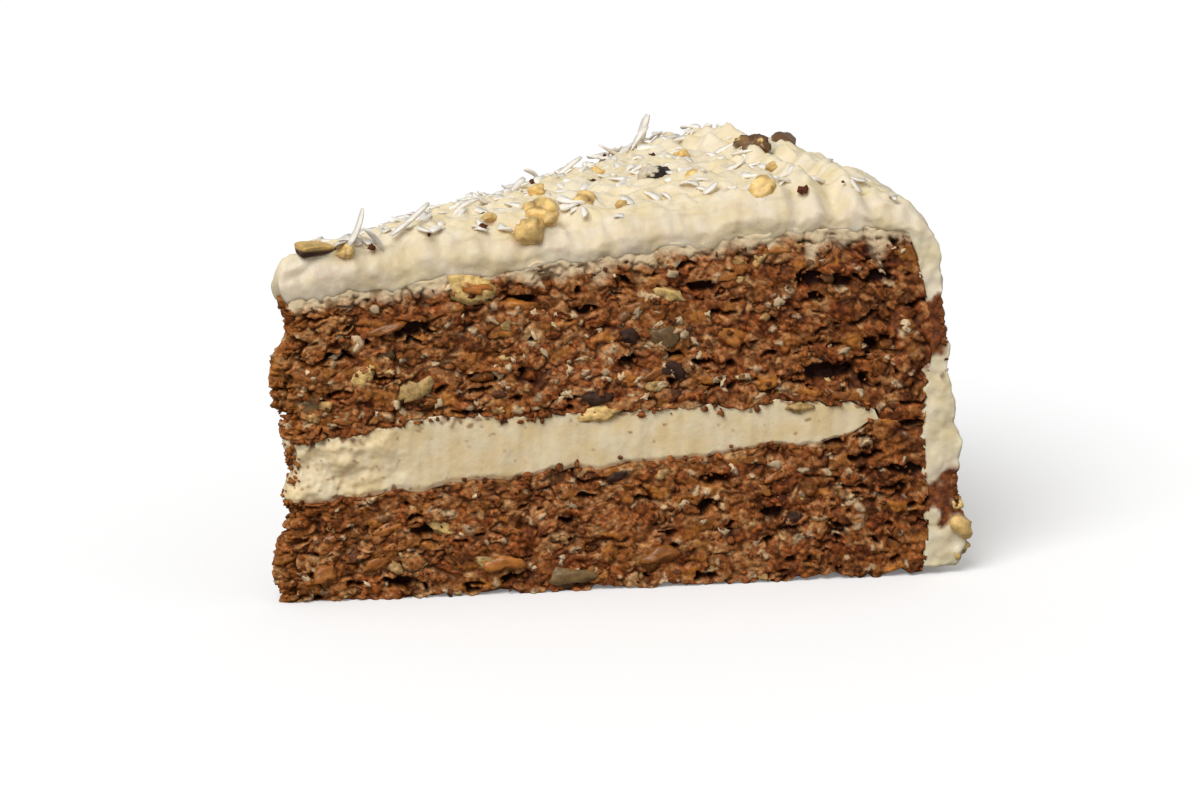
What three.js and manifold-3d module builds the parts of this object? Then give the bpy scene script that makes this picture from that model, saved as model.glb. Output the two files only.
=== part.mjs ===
// Slice of a two-layer carrot cake with a cream filling, frosting, coconut and nuts.
// The round cake is turned about its own axis and a wedge-shaped cut takes one slice out of it,
// so every layer runs through the slice and shows on both cut faces and at the tip.
// Millimetres, +Z up, standing on z = 0, tip towards -X, frosted rim towards +X.

import * as THREE from "three";
import { ImprovedNoise } from "three/addons/math/ImprovedNoise.js";
import { mergeVertices } from "three/addons/utils/BufferGeometryUtils.js";
import Module from "manifold-3d";

const wasm = await Module();
wasm.setup();

// Driving dimensions of the slice
const SPONGE_RADIUS = 127; // a 254 mm round tin
const SLICE_ANGLE = THREE.MathUtils.degToRad(36); // a tenth of the cake
const TIP_RADIUS = 6; // the tip is blunt, this far from the cake's axis
const AXIS_X = -70.8; // the cake's axis, placed so that the slice's box is centred on the origin
const GAP = 0.3; // between pieces that rest on each other

// Heights of the layers: each sags towards the tip
const SPONGE_TOP_AT_TIP = 57.5;
const SPONGE_TOP_RISE = 0.105; // per millimetre of radius
const LEVEL_RADIUS = 100; // the top of the sponge is level outside this radius
const FILLING_BASE_AT_TIP = 18.3;
const FILLING_BASE_RISE = 0.083;
const FILLING_TOP = 34.6;
const FILLING_TOP_AT_TIP = 31.2;
const FILLING_DIP_RADII = [14, 30]; // the filling's top dips between these
const FILLING_RADIUS = 118.6; // the filling stops short of the rim
const LAYER_JOIN = 31; // where the two sponges meet outside the filling

// Outlines of the rim: [height, distance past the tin's radius]
const BOTTOM_RIM = [[0, 0], [4, 1.2], [14, 1.4], [22, 0.5], [31, 0.3]];
const TOP_RIM = [[31, 0.3], [40, 1], [47.5, 1.6], [58, -0.6]];
const TOP_EDGE = { round: 3.5, flat: 8, drop: 1.2 }; // how the top sponge's upper edge is rounded
const FROSTED_RIM = [
  [1.6, 6.7], // the foot, just above the table
  [5.5, 8.6],
  [10.5, 8.3],
  [16, 7],
  [26, 6.4],
  [34, 5.5],
  [42, 4.6],
  [48, 4.2],
  [54, 3],
  [61, 2.6], // where the shoulder begins
];

// Frosting
const FROSTING_DEPTH = 7.4; // on top of the sponge
const FROSTING_HUMP = { depth: 1.2, radius: 30, spread: 18 }; // thicker towards the tip
const SHOULDER_REACH = 14; // how far in the shoulder's curve runs
const LUMP_FADE = 8; // the lumps of the top die away down the shoulder over this height
const SHOULDER_POINTS = 7;
const RIDGES = { from: 97, pitch: 7.2, crests: 5, depth: 0.8 }; // rings that a spatula leaves
const LUMP = { size: 13, depth: 1.6 }; // uneven spreading of the top
const TOP_RING = 6; // spacing of the rings of vertices on top

// Relief of the cut faces
const TURN_SEGMENTS = 100;
const CUTTER_RADIUS = 150;
const CUTTER_HEIGHT = 92;
const CUTTER_BASE = -6;
const TIP_STEPS = 3;
const CRUMB_CUT = { step: 3.4, crags: 7.5, cragDepth: 1.6, crumbs: 3.3, crumbDepth: 1.3 };
const CREAM_CUT = { step: 5.4, crags: 12, cragDepth: 0.7, crumbs: 5, crumbDepth: 0.4 };

// Toppings
const SHREDS = { count: 40, length: 7.5, width: 1.5, thickness: 0.8, steps: 3 };
const CHIPS = { count: 18, size: 1.5 };
const RIM_CHIPS = { count: 18, size: 2, low: 4, high: 26 };
const INCLUSIONS = { count: 22, size: 2.1 };
const EDGE_MARGIN = 0.9; // share of the slice's angle over which toppings are strewn
const BIT_MARGIN = 3; // keeps the bits in the cut faces clear of the layers above and below

const COLOURS = {
  sponge: 0x7d4e2a,
  cream: 0xe3d2ab,
  frosting: 0xf4ead3,
  kernel: 0xd9b266,
  skin: 0x4c2f1e,
  raisin: 0x2b2028,
};

// Nut pieces and a raisin large enough to be pieces of their own.
// Each lies at a radius and an angle in degrees from the slice's middle, its centre raised by lift.
const NUTS = [
  { name: "walnut_tip", at: [13, -7], lift: 0.7, size: [6.4, 4.4, 2.8], turn: 20, colour: "kernel" },
  { name: "walnut_edge", at: [18, -13], lift: -1.2, size: [4.4, 3, 2.8], turn: 70, colour: "kernel" },
  { name: "walnut_lobe", at: [55.5, -9.5], lift: 0.6, size: [6, 9.4, 5.4], turn: 25, colour: "kernel" },
  { name: "walnut_gold", at: [64.5, -7.5], lift: 0.5, size: [5.6, 6.6, 5], turn: 40, colour: "kernel" },
  { name: "raisin_top", at: [83, -1.5], lift: 0.7, size: [6.2, 5.2, 5], turn: 15, colour: "raisin" },
  { name: "walnut_sunk", at: [88.5, -5.5], lift: -0.2, size: [5.2, 4, 4], turn: 0, colour: "kernel" },
  { name: "walnut_skin", at: [107.5, 2], lift: 0.9, size: [8, 5.4, 4.6], turn: 60, colour: "skin" },
  { name: "walnut_nugget", at: [97, -14.8], lift: -0.2, size: [5.2, 5.2, 5], turn: 0, colour: "kernel" },
  { name: "walnut_shoulder", at: [119.5, 5.5], lift: 0.5, size: [5, 6, 4.4], turn: 30, colour: "skin" },
];

const noise = new ImprovedNoise();
const { clamp, lerp, degToRad } = THREE.MathUtils;
const polar = (radius, angle) => new THREE.Vector2(radius * Math.cos(angle), radius * Math.sin(angle));
const outline = (rim) => rim.map(([height, past]) => [SPONGE_RADIUS + past, height]);
const frostedRim = outline(FROSTED_RIM);
const [shoulderRadius, shoulderHeight] = frostedRim.at(-1);
const shoulderStart = shoulderRadius - SHOULDER_REACH;

// Repeatable random numbers from 0 to 1.
function seeded(seed) {
  let state = seed;
  return () => {
    state = (state * 1664525 + 1013904223) % 4294967296;
    return state / 4294967296;
  };
}

// Heights of the surfaces between the layers, at a distance from the cake's axis.
const spongeTop = (radius) => SPONGE_TOP_AT_TIP + SPONGE_TOP_RISE * Math.min(radius, LEVEL_RADIUS);
const fillingBase = (radius) => FILLING_BASE_AT_TIP + FILLING_BASE_RISE * radius;

function frostingHump(radius) {
  const away = (radius - FROSTING_HUMP.radius) / FROSTING_HUMP.spread;
  return FROSTING_HUMP.depth * Math.exp(-away * away);
}

// Rings that the spatula leaves, growing towards the rim.
function ridge(radius) {
  const along = Math.max(0, radius - RIDGES.from);
  const share = clamp(along / RIDGES.pitch, 0, 1);
  return share * RIDGES.depth * Math.sin((2 * Math.PI * along) / RIDGES.pitch);
}

const frostingLevel = (radius) => spongeTop(radius) + FROSTING_DEPTH + frostingHump(radius) + ridge(radius);

// Uneven spreading of the top, dying away down the shoulder.
function lump(x, y, height) {
  const share = clamp((height - shoulderHeight) / LUMP_FADE, 0, 1);
  return share * LUMP.depth * noise.noise(x / LUMP.size, y / LUMP.size, 0.5);
}


// The top of the frosting over a point, shoulder included.
function frostingTop(x, y) {
  const radius = Math.hypot(x, y);
  const over = clamp((radius - shoulderStart) / SHOULDER_REACH, 0, 1);
  const level = frostingLevel(Math.min(radius, shoulderStart));
  const height = lerp(shoulderHeight, level, Math.sqrt(1 - over * over));
  return height + lump(x, y, height);
}

// A closed mesh as a solid that can be joined and cut.
function solid(geometry) {
  geometry.deleteAttribute("normal");
  geometry.deleteAttribute("uv");
  const merged = mergeVertices(geometry, 1e-4);
  const corners = merged.index.array;
  const triVerts = [];
  for (let i = 0; i < corners.length; i += 3) {
    const [a, b, c] = corners.slice(i, i + 3);
    if (a !== b && b !== c && c !== a) triVerts.push(a, b, c);
  }
  return new wasm.Manifold(
    new wasm.Mesh({
      numProp: 3,
      vertProperties: new Float32Array(merged.attributes.position.array),
      triVerts: new Uint32Array(triVerts),
    }),
  );
}

function geometryOf(body) {
  const mesh = body.getMesh();
  const geometry = new THREE.BufferGeometry();
  geometry.setAttribute("position", new THREE.BufferAttribute(new Float32Array(mesh.vertProperties), 3));
  geometry.setIndex(new THREE.BufferAttribute(new Uint32Array(mesh.triVerts), 1));
  geometry.computeVertexNormals();
  return geometry;
}

// A profile of [radius, height] points, from the axis round to the axis, turned about the cake's axis.
function turned(profile) {
  const points = profile.map(([radius, height]) => new THREE.Vector2(radius, height));
  return new THREE.LatheGeometry(points, TURN_SEGMENTS).rotateX(Math.PI / 2);
}

// Moves each vertex by what shift(x, y, z) returns.
function displaced(geometry, shift) {
  const position = geometry.attributes.position;
  const place = new THREE.Vector3();
  for (let i = 0; i < position.count; i++) {
    place.fromBufferAttribute(position, i);
    place.add(shift(place.x, place.y, place.z));
    position.setXYZ(i, place.x, place.y, place.z);
  }
  return geometry;
}

// Outward direction of the cut: away from the slice on its two faces, back along the radius at the tip.
function cutNormal(x, y) {
  const angle = Math.atan2(y, x);
  if (Math.hypot(x, y) < TIP_RADIUS * 1.01) return new THREE.Vector3(-Math.cos(angle), -Math.sin(angle), 0);
  const side = Math.sign(angle) * SLICE_ANGLE * 0.5;
  return new THREE.Vector3(-Math.sin(side), Math.cos(side), 0).multiplyScalar(Math.sign(angle));
}

// How far the cut stands out at a point: broad crags with crumbs over them.
function cutRelief({ crags, cragDepth, crumbs, crumbDepth }, x, y, z) {
  const coarse = cragDepth * noise.noise(x / crags, y / crags + 9, z / crags);
  const fine = crumbDepth * noise.noise(x / crumbs + 5, y / crumbs, z / crumbs);
  return cutNormal(x, y).multiplyScalar(coarse + fine);
}

// The wedge that the knife leaves, with the relief of what it went through.
function cutWedge(cut) {
  const half = SLICE_ANGLE / 2;
  const steps = Math.round((CUTTER_RADIUS - TIP_RADIUS) / cut.step);
  const radii = Array.from({ length: steps + 1 }, (_, i) => lerp(TIP_RADIUS, CUTTER_RADIUS, i / steps));
  const front = radii.map((radius) => polar(radius, -half));
  const back = radii.map((radius) => polar(radius, half)).reverse();
  const tip = Array.from({ length: TIP_STEPS - 1 }, (_, i) =>
    polar(TIP_RADIUS, lerp(half, -half, (i + 1) / TIP_STEPS)),
  );
  const shape = new THREE.Shape([...front, ...back, ...tip]);
  const rows = Math.round(CUTTER_HEIGHT / cut.step);
  const upright = { depth: CUTTER_HEIGHT, steps: rows, bevelEnabled: false };
  const geometry = new THREE.ExtrudeGeometry(shape, upright);
  geometry.translate(0, 0, CUTTER_BASE);
  return solid(displaced(geometry, (x, y, z) => cutRelief(cut, x, y, z)));
}

// Profiles, each from the axis outwards along the base, up the rim and back to the axis.
const fillingEnd = [
  [FILLING_RADIUS - 8, fillingBase(FILLING_RADIUS - 8)],
  [FILLING_RADIUS - 2, fillingBase(FILLING_RADIUS - 4)],
  [FILLING_RADIUS, LAYER_JOIN],
  [FILLING_RADIUS - 1, FILLING_TOP - 0.8],
  [FILLING_RADIUS - 6, FILLING_TOP - 0.2],
];
const fillingDip = [
  [FILLING_DIP_RADII[1], FILLING_TOP],
  [FILLING_DIP_RADII[0], FILLING_TOP_AT_TIP],
  [0, FILLING_TOP_AT_TIP],
];
const fillingProfile = [[0, fillingBase(0)], ...fillingEnd, ...fillingDip];

const halfGap = GAP / 2;
const lowered = fillingEnd.slice(0, 2).map(([radius, height]) => [radius, height - GAP]);
const raised = fillingEnd.slice(3).map(([radius, height]) => [radius, height + GAP]);
const withGap = ([radius, height]) => [radius + (radius ? GAP : 0), height + GAP];
const bottomRim = outline(BOTTOM_RIM).slice(0, -1);
const topRim = outline(TOP_RIM).slice(1);
const joinRadius = SPONGE_RADIUS + TOP_RIM[0][1];
const bottomProfile = [
  [0, 0],
  ...bottomRim,
  [joinRadius, LAYER_JOIN - halfGap],
  [FILLING_RADIUS + GAP, LAYER_JOIN - halfGap],
  ...lowered.reverse(),
  [0, fillingBase(0) - GAP],
];
const topOfSponge = [
  [SPONGE_RADIUS - TOP_EDGE.round, spongeTop(SPONGE_RADIUS) - TOP_EDGE.drop],
  [SPONGE_RADIUS - TOP_EDGE.flat, spongeTop(SPONGE_RADIUS)],
  [LEVEL_RADIUS, spongeTop(LEVEL_RADIUS)],
  [0, spongeTop(0)],
];
const topProfile = [
  [0, FILLING_TOP_AT_TIP + GAP],
  ...fillingDip.slice(0, 2).reverse().map(([radius, height]) => [radius, height + GAP]),
  ...raised.reverse(),
  [FILLING_RADIUS + GAP, LAYER_JOIN + halfGap],
  [joinRadius, LAYER_JOIN + halfGap],
  ...topRim,
  ...topOfSponge,
];

// What the frosting is spread over: the rims of both sponges and the top, a gap larger.
const coreProfile = [
  [0, CUTTER_BASE],
  [SPONGE_RADIUS + GAP, CUTTER_BASE],
  ...[...bottomRim, [joinRadius, LAYER_JOIN], ...topRim].map(([radius, height]) => [radius + GAP, height]),
  ...topOfSponge.map(withGap),
];

// The frosting's outside: thick at the foot, thin up the rim, a round shoulder, then the ridged top.
const shoulder = Array.from({ length: SHOULDER_POINTS }, (_, i) => {
  const turn = (Math.PI / 2) * ((i + 1) / SHOULDER_POINTS);
  const rise = frostingLevel(shoulderStart) - shoulderHeight;
  return [shoulderStart + SHOULDER_REACH * Math.cos(turn), shoulderHeight + rise * Math.sin(turn)];
});
const crestRadius = (i) => RIDGES.from + RIDGES.pitch * (0.25 + 0.5 * i);
const crests = Array.from({ length: RIDGES.crests }, (_, i) => crestRadius(i));
const topRings = Math.ceil(RIDGES.from / TOP_RING);
const plain = Array.from({ length: topRings + 1 }, (_, i) => (RIDGES.from * i) / topRings);
const topLine = [...plain, ...crests].reverse().map((radius) => [radius, frostingLevel(radius)]);
const frostingProfile = [[0, frostedRim[0][1]], ...frostedRim, ...shoulder, ...topLine];

// A nut piece: a ball worked into a lumpy, angular form.
function nutBody({ at: [radius, angle], lift, size, turn }, grow = 0) {
  const place = polar(radius, degToRad(angle));
  const geometry = new THREE.IcosahedronGeometry(1, 1);
  displaced(geometry, (x, y, z) => {
    const bump = 0.45 * noise.noise(1.7 * x + radius, 1.7 * y, 1.7 * z + angle);
    return new THREE.Vector3(x, y, z).multiplyScalar(bump);
  });
  geometry.scale(...size.map((length) => length / 2 + grow));
  geometry.rotateZ(degToRad(turn));
  geometry.translate(place.x, place.y, frostingTop(place.x, place.y) + lift);
  return solid(geometry);
}

const nutPlaces = NUTS.map(({ at: [radius, angle], size }) => ({
  place: polar(radius, degToRad(angle)),
  reach: 0.6 * Math.max(...size) + GAP,
}));

const clearOfNuts = (x, y, reach) =>
  nutPlaces.every(({ place, reach: own }) => Math.hypot(place.x - x, place.y - y) > own + reach);

// Even spread of points over the top: steps of the plastic number fill the sector without clumps.
function strewn(count, seed) {
  const inner = TIP_RADIUS + 3;
  const outer = shoulderStart + 5;
  return Array.from({ length: count }, (_, i) => {
    const across = (seed + 0.7548776662 * i) % 1;
    const around = (seed + 0.5698402909 * i) % 1;
    const radius = Math.sqrt(lerp(inner * inner, outer * outer, across));
    return polar(radius, (around - 0.5) * SLICE_ANGLE * EDGE_MARGIN);
  });
}

// Coconut: bent strips, most of them lying on the frosting and some standing in it.
function coconutShreds() {
  const random = seeded(11);
  const made = [];
  for (const place of strewn(SHREDS.count, 0.37)) {
    const length = SHREDS.length * lerp(0.6, 1.2, random());
    const curl = lerp(0.3, 1.4, random());
    const pitch = random() < 0.25 ? lerp(0.4, 0.8, random()) : lerp(-0.1, 0.15, random());
    const yaw = 2 * Math.PI * random();
    if (!clearOfNuts(place.x, place.y, length / 2)) continue;
    const geometry = new THREE.BoxGeometry(length, SHREDS.width, SHREDS.thickness, SHREDS.steps, 1, 1);
    displaced(geometry, (x) => new THREE.Vector3(0, 0, curl * ((2 * x) / length) ** 2));
    geometry.rotateY(-pitch);
    geometry.rotateZ(yaw);
    const lift = (0.38 * length - curl) * Math.sin(Math.abs(pitch)) - 0.25;
    geometry.translate(place.x, place.y, frostingTop(place.x, place.y) + lift);
    made.push(solid(geometry));
  }
  return made;
}

// Chopped nut bits: small angular lumps half sunk in what they lie on.
function chip(place, size, random) {
  const geometry = new THREE.IcosahedronGeometry(size * lerp(0.4, 0.8, random()), 0);
  geometry.scale(1, lerp(0.6, 1, random()), lerp(0.5, 0.9, random()));
  geometry.rotateX(Math.PI * random());
  geometry.rotateZ(Math.PI * random());
  return solid(geometry.translate(place.x, place.y, place.z));
}

function topChips() {
  const random = seeded(23);
  return strewn(CHIPS.count, 0.81)
    .filter((place) => clearOfNuts(place.x, place.y, CHIPS.size))
    .map(({ x, y }) => chip(new THREE.Vector3(x, y, frostingTop(x, y)), CHIPS.size, random));
}

// Radius of the frosting's outside at a height on the rim.
function rimRadius(height) {
  const above = frostedRim.findIndex((point) => point[1] >= height);
  const [[r0, z0], [r1, z1]] = frostedRim.slice(above - 1, above + 1);
  return lerp(r0, r1, (height - z0) / (z1 - z0));
}

function rimChips() {
  const random = seeded(37);
  return Array.from({ length: RIM_CHIPS.count }, (_, i) => {
    const share = (i + 0.5) / RIM_CHIPS.count - 0.5;
    const height = lerp(RIM_CHIPS.low, RIM_CHIPS.high, random() ** 2);
    const place = polar(rimRadius(height) - 0.2, share * SLICE_ANGLE * EDGE_MARGIN);
    return chip(new THREE.Vector3(place.x, place.y, height), RIM_CHIPS.size, random);
  });
}

// Nut, raisin and carrot bits that stand out of a sponge's cut faces, between two heights.
function cutFaceBits(low, high, seed) {
  const random = seeded(seed);
  return Array.from({ length: INCLUSIONS.count }, (_, i) => {
    const side = i % 2 ? 0.5 : -0.5;
    const radius = lerp(TIP_RADIUS + 6, SPONGE_RADIUS - 8, ((i + random()) / INCLUSIONS.count) % 1);
    const flat = polar(radius, side * SLICE_ANGLE);
    const place = new THREE.Vector3(flat.x, flat.y, lerp(low, high, random()));
    place.add(cutRelief(CRUMB_CUT, place.x, place.y, place.z));
    return chip(place, INCLUSIONS.size, random);
  });
}

const crumbWedge = cutWedge(CRUMB_CUT);
const creamWedge = cutWedge(CREAM_CUT);

function spongeBottom() {
  const bits = cutFaceBits(BIT_MARGIN, FILLING_BASE_AT_TIP - BIT_MARGIN, 51);
  return wasm.Manifold.union([solid(turned(bottomProfile)).intersect(crumbWedge), ...bits]);
}

function spongeTopLayer() {
  const bits = cutFaceBits(FILLING_TOP + BIT_MARGIN, SPONGE_TOP_AT_TIP - BIT_MARGIN, 67);
  return wasm.Manifold.union([solid(turned(topProfile)).intersect(crumbWedge), ...bits]);
}

const creamFilling = () => solid(turned(fillingProfile)).intersect(creamWedge);

function frosting() {
  const raise = (x, y, z) => new THREE.Vector3(0, 0, lump(x, y, z));
  const outside = displaced(turned(frostingProfile), raise);
  const skin = solid(outside).subtract(solid(turned(coreProfile))).intersect(creamWedge);
  const strewnOver = wasm.Manifold.union([skin, ...coconutShreds(), ...topChips(), ...rimChips()]);
  const pockets = wasm.Manifold.union(NUTS.map((nut) => nutBody(nut, GAP)));
  return strewnOver.subtract(pockets);
}

const slice = new THREE.Group();
slice.position.x = AXIS_X;

function addPiece(name, body, colour, roughness) {
  const material = new THREE.MeshStandardMaterial({ color: COLOURS[colour], roughness, metalness: 0 });
  const mesh = new THREE.Mesh(geometryOf(body), material);
  mesh.name = name;
  slice.add(mesh);
}

addPiece("sponge_bottom", spongeBottom(), "sponge", 0.9);
addPiece("cream_filling", creamFilling(), "cream", 0.5);
addPiece("sponge_top", spongeTopLayer(), "sponge", 0.9);
addPiece("frosting", frosting(), "frosting", 0.5);
for (const nut of NUTS) addPiece(nut.name, nutBody(nut), nut.colour, 0.6);

export default slice;
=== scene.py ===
"""A slice of carrot cake: torn crumb, knife-cut cream, spread frosting, coconut, nuts and carrot.

Every surface is worked out with numpy in millimetres about the whole cake's axis, which stands at the
slice's tip side, and is moved into the part's frame when its mesh is made.
"""

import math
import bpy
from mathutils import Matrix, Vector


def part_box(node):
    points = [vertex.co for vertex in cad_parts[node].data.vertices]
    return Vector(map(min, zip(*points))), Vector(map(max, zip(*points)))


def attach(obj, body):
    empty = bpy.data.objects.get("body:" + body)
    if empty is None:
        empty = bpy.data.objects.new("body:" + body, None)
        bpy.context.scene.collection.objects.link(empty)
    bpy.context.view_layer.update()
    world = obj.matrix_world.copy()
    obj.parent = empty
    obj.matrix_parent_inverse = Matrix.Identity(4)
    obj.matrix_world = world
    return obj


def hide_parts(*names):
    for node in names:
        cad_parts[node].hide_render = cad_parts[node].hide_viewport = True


bl_info = {
    "name": "Carrot cake slice",
    "version": (1, 0, 0),
    "blender": (4, 5, 0),
    "location": "View3D > Sidebar > Cake",
    "description": "Builds a slice of carrot cake round its packed solids",
    "category": "Object",
}

import bpy
import numpy as np
from bpy.props import FloatProperty, FloatVectorProperty, IntProperty, PointerProperty
from mathutils import Vector

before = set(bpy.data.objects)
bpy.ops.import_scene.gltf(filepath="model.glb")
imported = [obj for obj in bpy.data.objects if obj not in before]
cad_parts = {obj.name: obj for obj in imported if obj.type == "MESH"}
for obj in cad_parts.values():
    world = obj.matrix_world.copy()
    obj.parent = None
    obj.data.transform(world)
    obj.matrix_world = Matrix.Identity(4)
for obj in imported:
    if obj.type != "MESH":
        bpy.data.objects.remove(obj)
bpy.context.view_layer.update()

MM = 0.001
BODY = "root"
PHOTO_WIDTH = 1200
SENSOR = 36.0


# Settings

def linear(code):
    """An sRGB hex colour as linear red, green and blue."""
    part = [int(code[i:i + 2], 16) / 255 for i in (1, 3, 5)]
    return tuple(c / 12.92 if c <= 0.04045 else ((c + 0.055) / 1.055) ** 2.4 for c in part)


def length(name, description, size):
    """A size property: its default is given in millimetres and held in metres."""
    return FloatProperty(name=name, description=description, default=size * MM, min=0.0, unit="LENGTH")


def colour(name, description, code):
    """A colour property from an sRGB hex value."""
    return FloatVectorProperty(name=name, description=description, default=linear(code),
                               min=0.0, max=1.0, size=3, subtype="COLOR")


class CakeSizes(bpy.types.PropertyGroup):
    """Sizes of the slice and of what is in it and on it."""

    sponge_radius: length("Sponge radius", "Radius of the tin that the cake was baked in", 127)
    slice_angle: FloatProperty(name="Slice angle", description="Angle between the two cuts",
                               default=math.radians(36), subtype="ANGLE")
    axis_offset: length("Axis offset", "How far the cake's axis lies behind the frame's origin", 70.8)
    frosting_depth: length("Frosting depth", "Depth of the frosting on the top sponge", 7.4)
    crumb_step: length("Crumb step", "Spacing of the grid on the cut faces of the sponge", 0.315)
    cream_step: length("Cream step", "Spacing of the grid on the frosting", 0.62)
    shreds: IntProperty(name="Coconut shreds", description="Shreds strewn over the top", default=240)
    flakes: IntProperty(name="Coconut flakes", description="Flakes that show in the crumb", default=260)
    carrots: IntProperty(name="Carrot shreds", description="Shreds that show in the crumb", default=90)
    bits: IntProperty(name="Nut bits", description="Chopped nut that shows in the crumb", default=64)
    crumbs: IntProperty(name="Crumbs", description="Crumbs that cling to the cuts", default=1100)


class CakeColours(bpy.types.PropertyGroup):
    """Colours of the slice."""

    # Dark crumb, which is also the colour of painted shade in the crumb's holes and cracks and on the
    # frosting's cut faces
    crumb_dark_and_shade: colour("Dark crumb", "Damp crumb deep in the holes", "#3C1405")
    crumb: colour("Crumb", "Baked crumb", "#9B5727")
    crumb_pale: colour("Pale crumb", "Dry crumb on the knife's plane", "#D3A478")
    carrot: colour("Carrot", "Baked carrot shreds", "#B8742E")
    filling: colour("Filling", "Cream filling", "#F6E3BE")
    frosting: colour("Frosting", "Cream frosting", "#F2E4C9")
    coconut: colour("Coconut", "Shredded coconut", "#FDF5E8")
    kernel: colour("Kernel", "Walnut kernel", "#EDC67C")
    skin: colour("Skin", "Walnut skin", "#5A2C14")
    raisin: colour("Raisin", "Raisin", "#271811")
    fleck: colour("Fleck", "Pale flecks of nut and coconut in the crumb", "#E4C498")
    fruit: colour("Fruit", "Soft dried fruit", "#806A42")


class StageSettings(bpy.types.PropertyGroup):
    """Camera and light of the studio."""

    azimuth: FloatProperty(name="Azimuth", description="Camera's direction round the slice",
                           default=math.radians(-27.325), subtype="ANGLE")
    elevation: FloatProperty(name="Elevation", description="Camera's height over the horizon",
                             default=math.radians(13.835), subtype="ANGLE")
    distance: length("Distance", "From the camera to the point that it aims at", 900)
    aim: FloatVectorProperty(name="Aim", description="Point at the middle of the picture",
                             default=(1.597 * MM, 0.0, 31.193 * MM), size=3, unit="LENGTH")
    focal_pixels: FloatProperty(name="Focal length", description="In pixels of the 1200 pixel picture",
                                default=4705.5)
    key_strength: FloatProperty(name="Key light", description="Strength of the large soft light",
                                default=2.2)
    key_width: FloatProperty(name="Key width", description="How wide the large light looks from the slice",
                             default=math.radians(38), subtype="ANGLE")
    key_from: FloatVectorProperty(name="Key from", description="Direction that the large light comes from",
                                  default=(-0.8, -0.58, 1.0), size=3, subtype="DIRECTION")
    sky: FloatProperty(name="Sky", description="Strength of the white surroundings", default=0.42)


# Shape of the cake: the same heights and outlines as the solids, in millimetres

SPONGE_TOP_AT_TIP = 57.5
SPONGE_TOP_RISE = 0.105
LEVEL_RADIUS = 100
FILLING_BASE_AT_TIP = 18.3
FILLING_BASE_RISE = 0.083
FILLING_END = 118.6
FILLING_CLOSES_OVER = 6
FILLING_DIP = ((0, 31.2), (14, 31.2), (30, 34.6), (112, 34.4), (117.5, 33.6), (118.6, 31), (140, 31))
LAYER_JOIN = 31
RIM_BULGE = ((0, 0), (4, 1.2), (14, 1.4), (22, 0.5), (31, 0.3), (40, 1), (47.5, 1.6), (58, -0.6),
             (67, -3.5))
FROSTED_RIM = ((1.6, 6.7), (5.5, 8.6), (10.5, 8.3), (16, 7), (26, 6.4), (34, 5.5), (42, 4.6), (48, 4.2),
               (54, 3), (61, 2.6))
SHOULDER_HEIGHT = 61
SHOULDER_REACH = 14
# How high the frosting is heaped near the tip, at what radius and how widely
HUMP = (1.2, 30, 18)
RIDGE_FROM = 97
RIDGE_PITCH = 7.2
RIDGE_DEPTH = 1.2
TIP_OUTLINE = ((0, 5.7), (6, 4.5), (12, 5.9), (17, 8.4), (20, 6.1), (24, 8), (30, 7.1), (34, 6.3),
               (40, 4.4), (47, 5), (50, 8.2), (54, 7.9), (58, 5.8), (70, 5.8))
TIP_RADIUS = 6


def sizes():
    """The size properties, with lengths turned into millimetres."""
    group = bpy.context.scene.cake_sizes
    names = ("sponge_radius", "axis_offset", "frosting_depth", "crumb_step", "cream_step")
    return {name: getattr(group, name) / MM for name in names} | {"half": group.slice_angle / 2}


def curve(points, x):
    """Straight lines through (x, y) points."""
    xs, ys = np.array(points).T
    return np.interp(x, xs, ys)


def smoothstep(low, high, x):
    """Rises smoothly from 0 at low to 1 at high."""
    share = np.clip((x - low) / (high - low), 0, 1)
    return share * share * (3 - 2 * share)


def lerp(a, b, share):
    """Straight mix of a and b."""
    return a + (b - a) * share


# Noise

ODD_NUMBERS = np.array([374761393, 668265263, 2246822519, 3266489917], np.uint32)


def hashed(cell, seed):
    """A random 32-bit number for each whole-number cell: coordinates times odd numbers, then mixed bits."""
    a, b, c, d = ODD_NUMBERS
    spot = np.asarray(cell).astype(np.int64).astype(np.uint32)
    h = spot[..., 0] * a + spot[..., 1] * b + spot[..., 2] * c
    h = h + np.uint32((seed * int(d)) % 2**32)
    h = (h ^ (h >> np.uint32(15))) * c
    h = (h ^ (h >> np.uint32(13))) * d
    return h ^ (h >> np.uint32(16))


def three_parts(h):
    """Three numbers from 0 to 1 out of one random number's bits."""
    return ((h[..., None] >> np.array([0, 10, 20], np.uint32)) & np.uint32(1023)) / 1023.0


def noise(points, seed):
    """Gradient noise, about -0.7 to 0.7: each cell corner's random slope, faded between the corners."""
    base = np.floor(points)
    inside = points - base
    fade = inside**3 * (inside * (inside * 6 - 15) + 10)
    total = np.zeros(points.shape[:-1])
    for corner in np.ndindex(2, 2, 2):
        slope = three_parts(hashed(base + corner, seed)) * 2 - 1
        weight = np.prod(np.where(np.array(corner, bool), fade, 1 - fade), axis=-1)
        total += weight * ((inside - corner) * slope).sum(-1)
    return total


def noises(points, *terms):
    """Several noises added up, each given as its amount, the size of its features and its seed."""
    return sum(amount * noise(points / size, seed) for amount, size, seed in terms)


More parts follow.
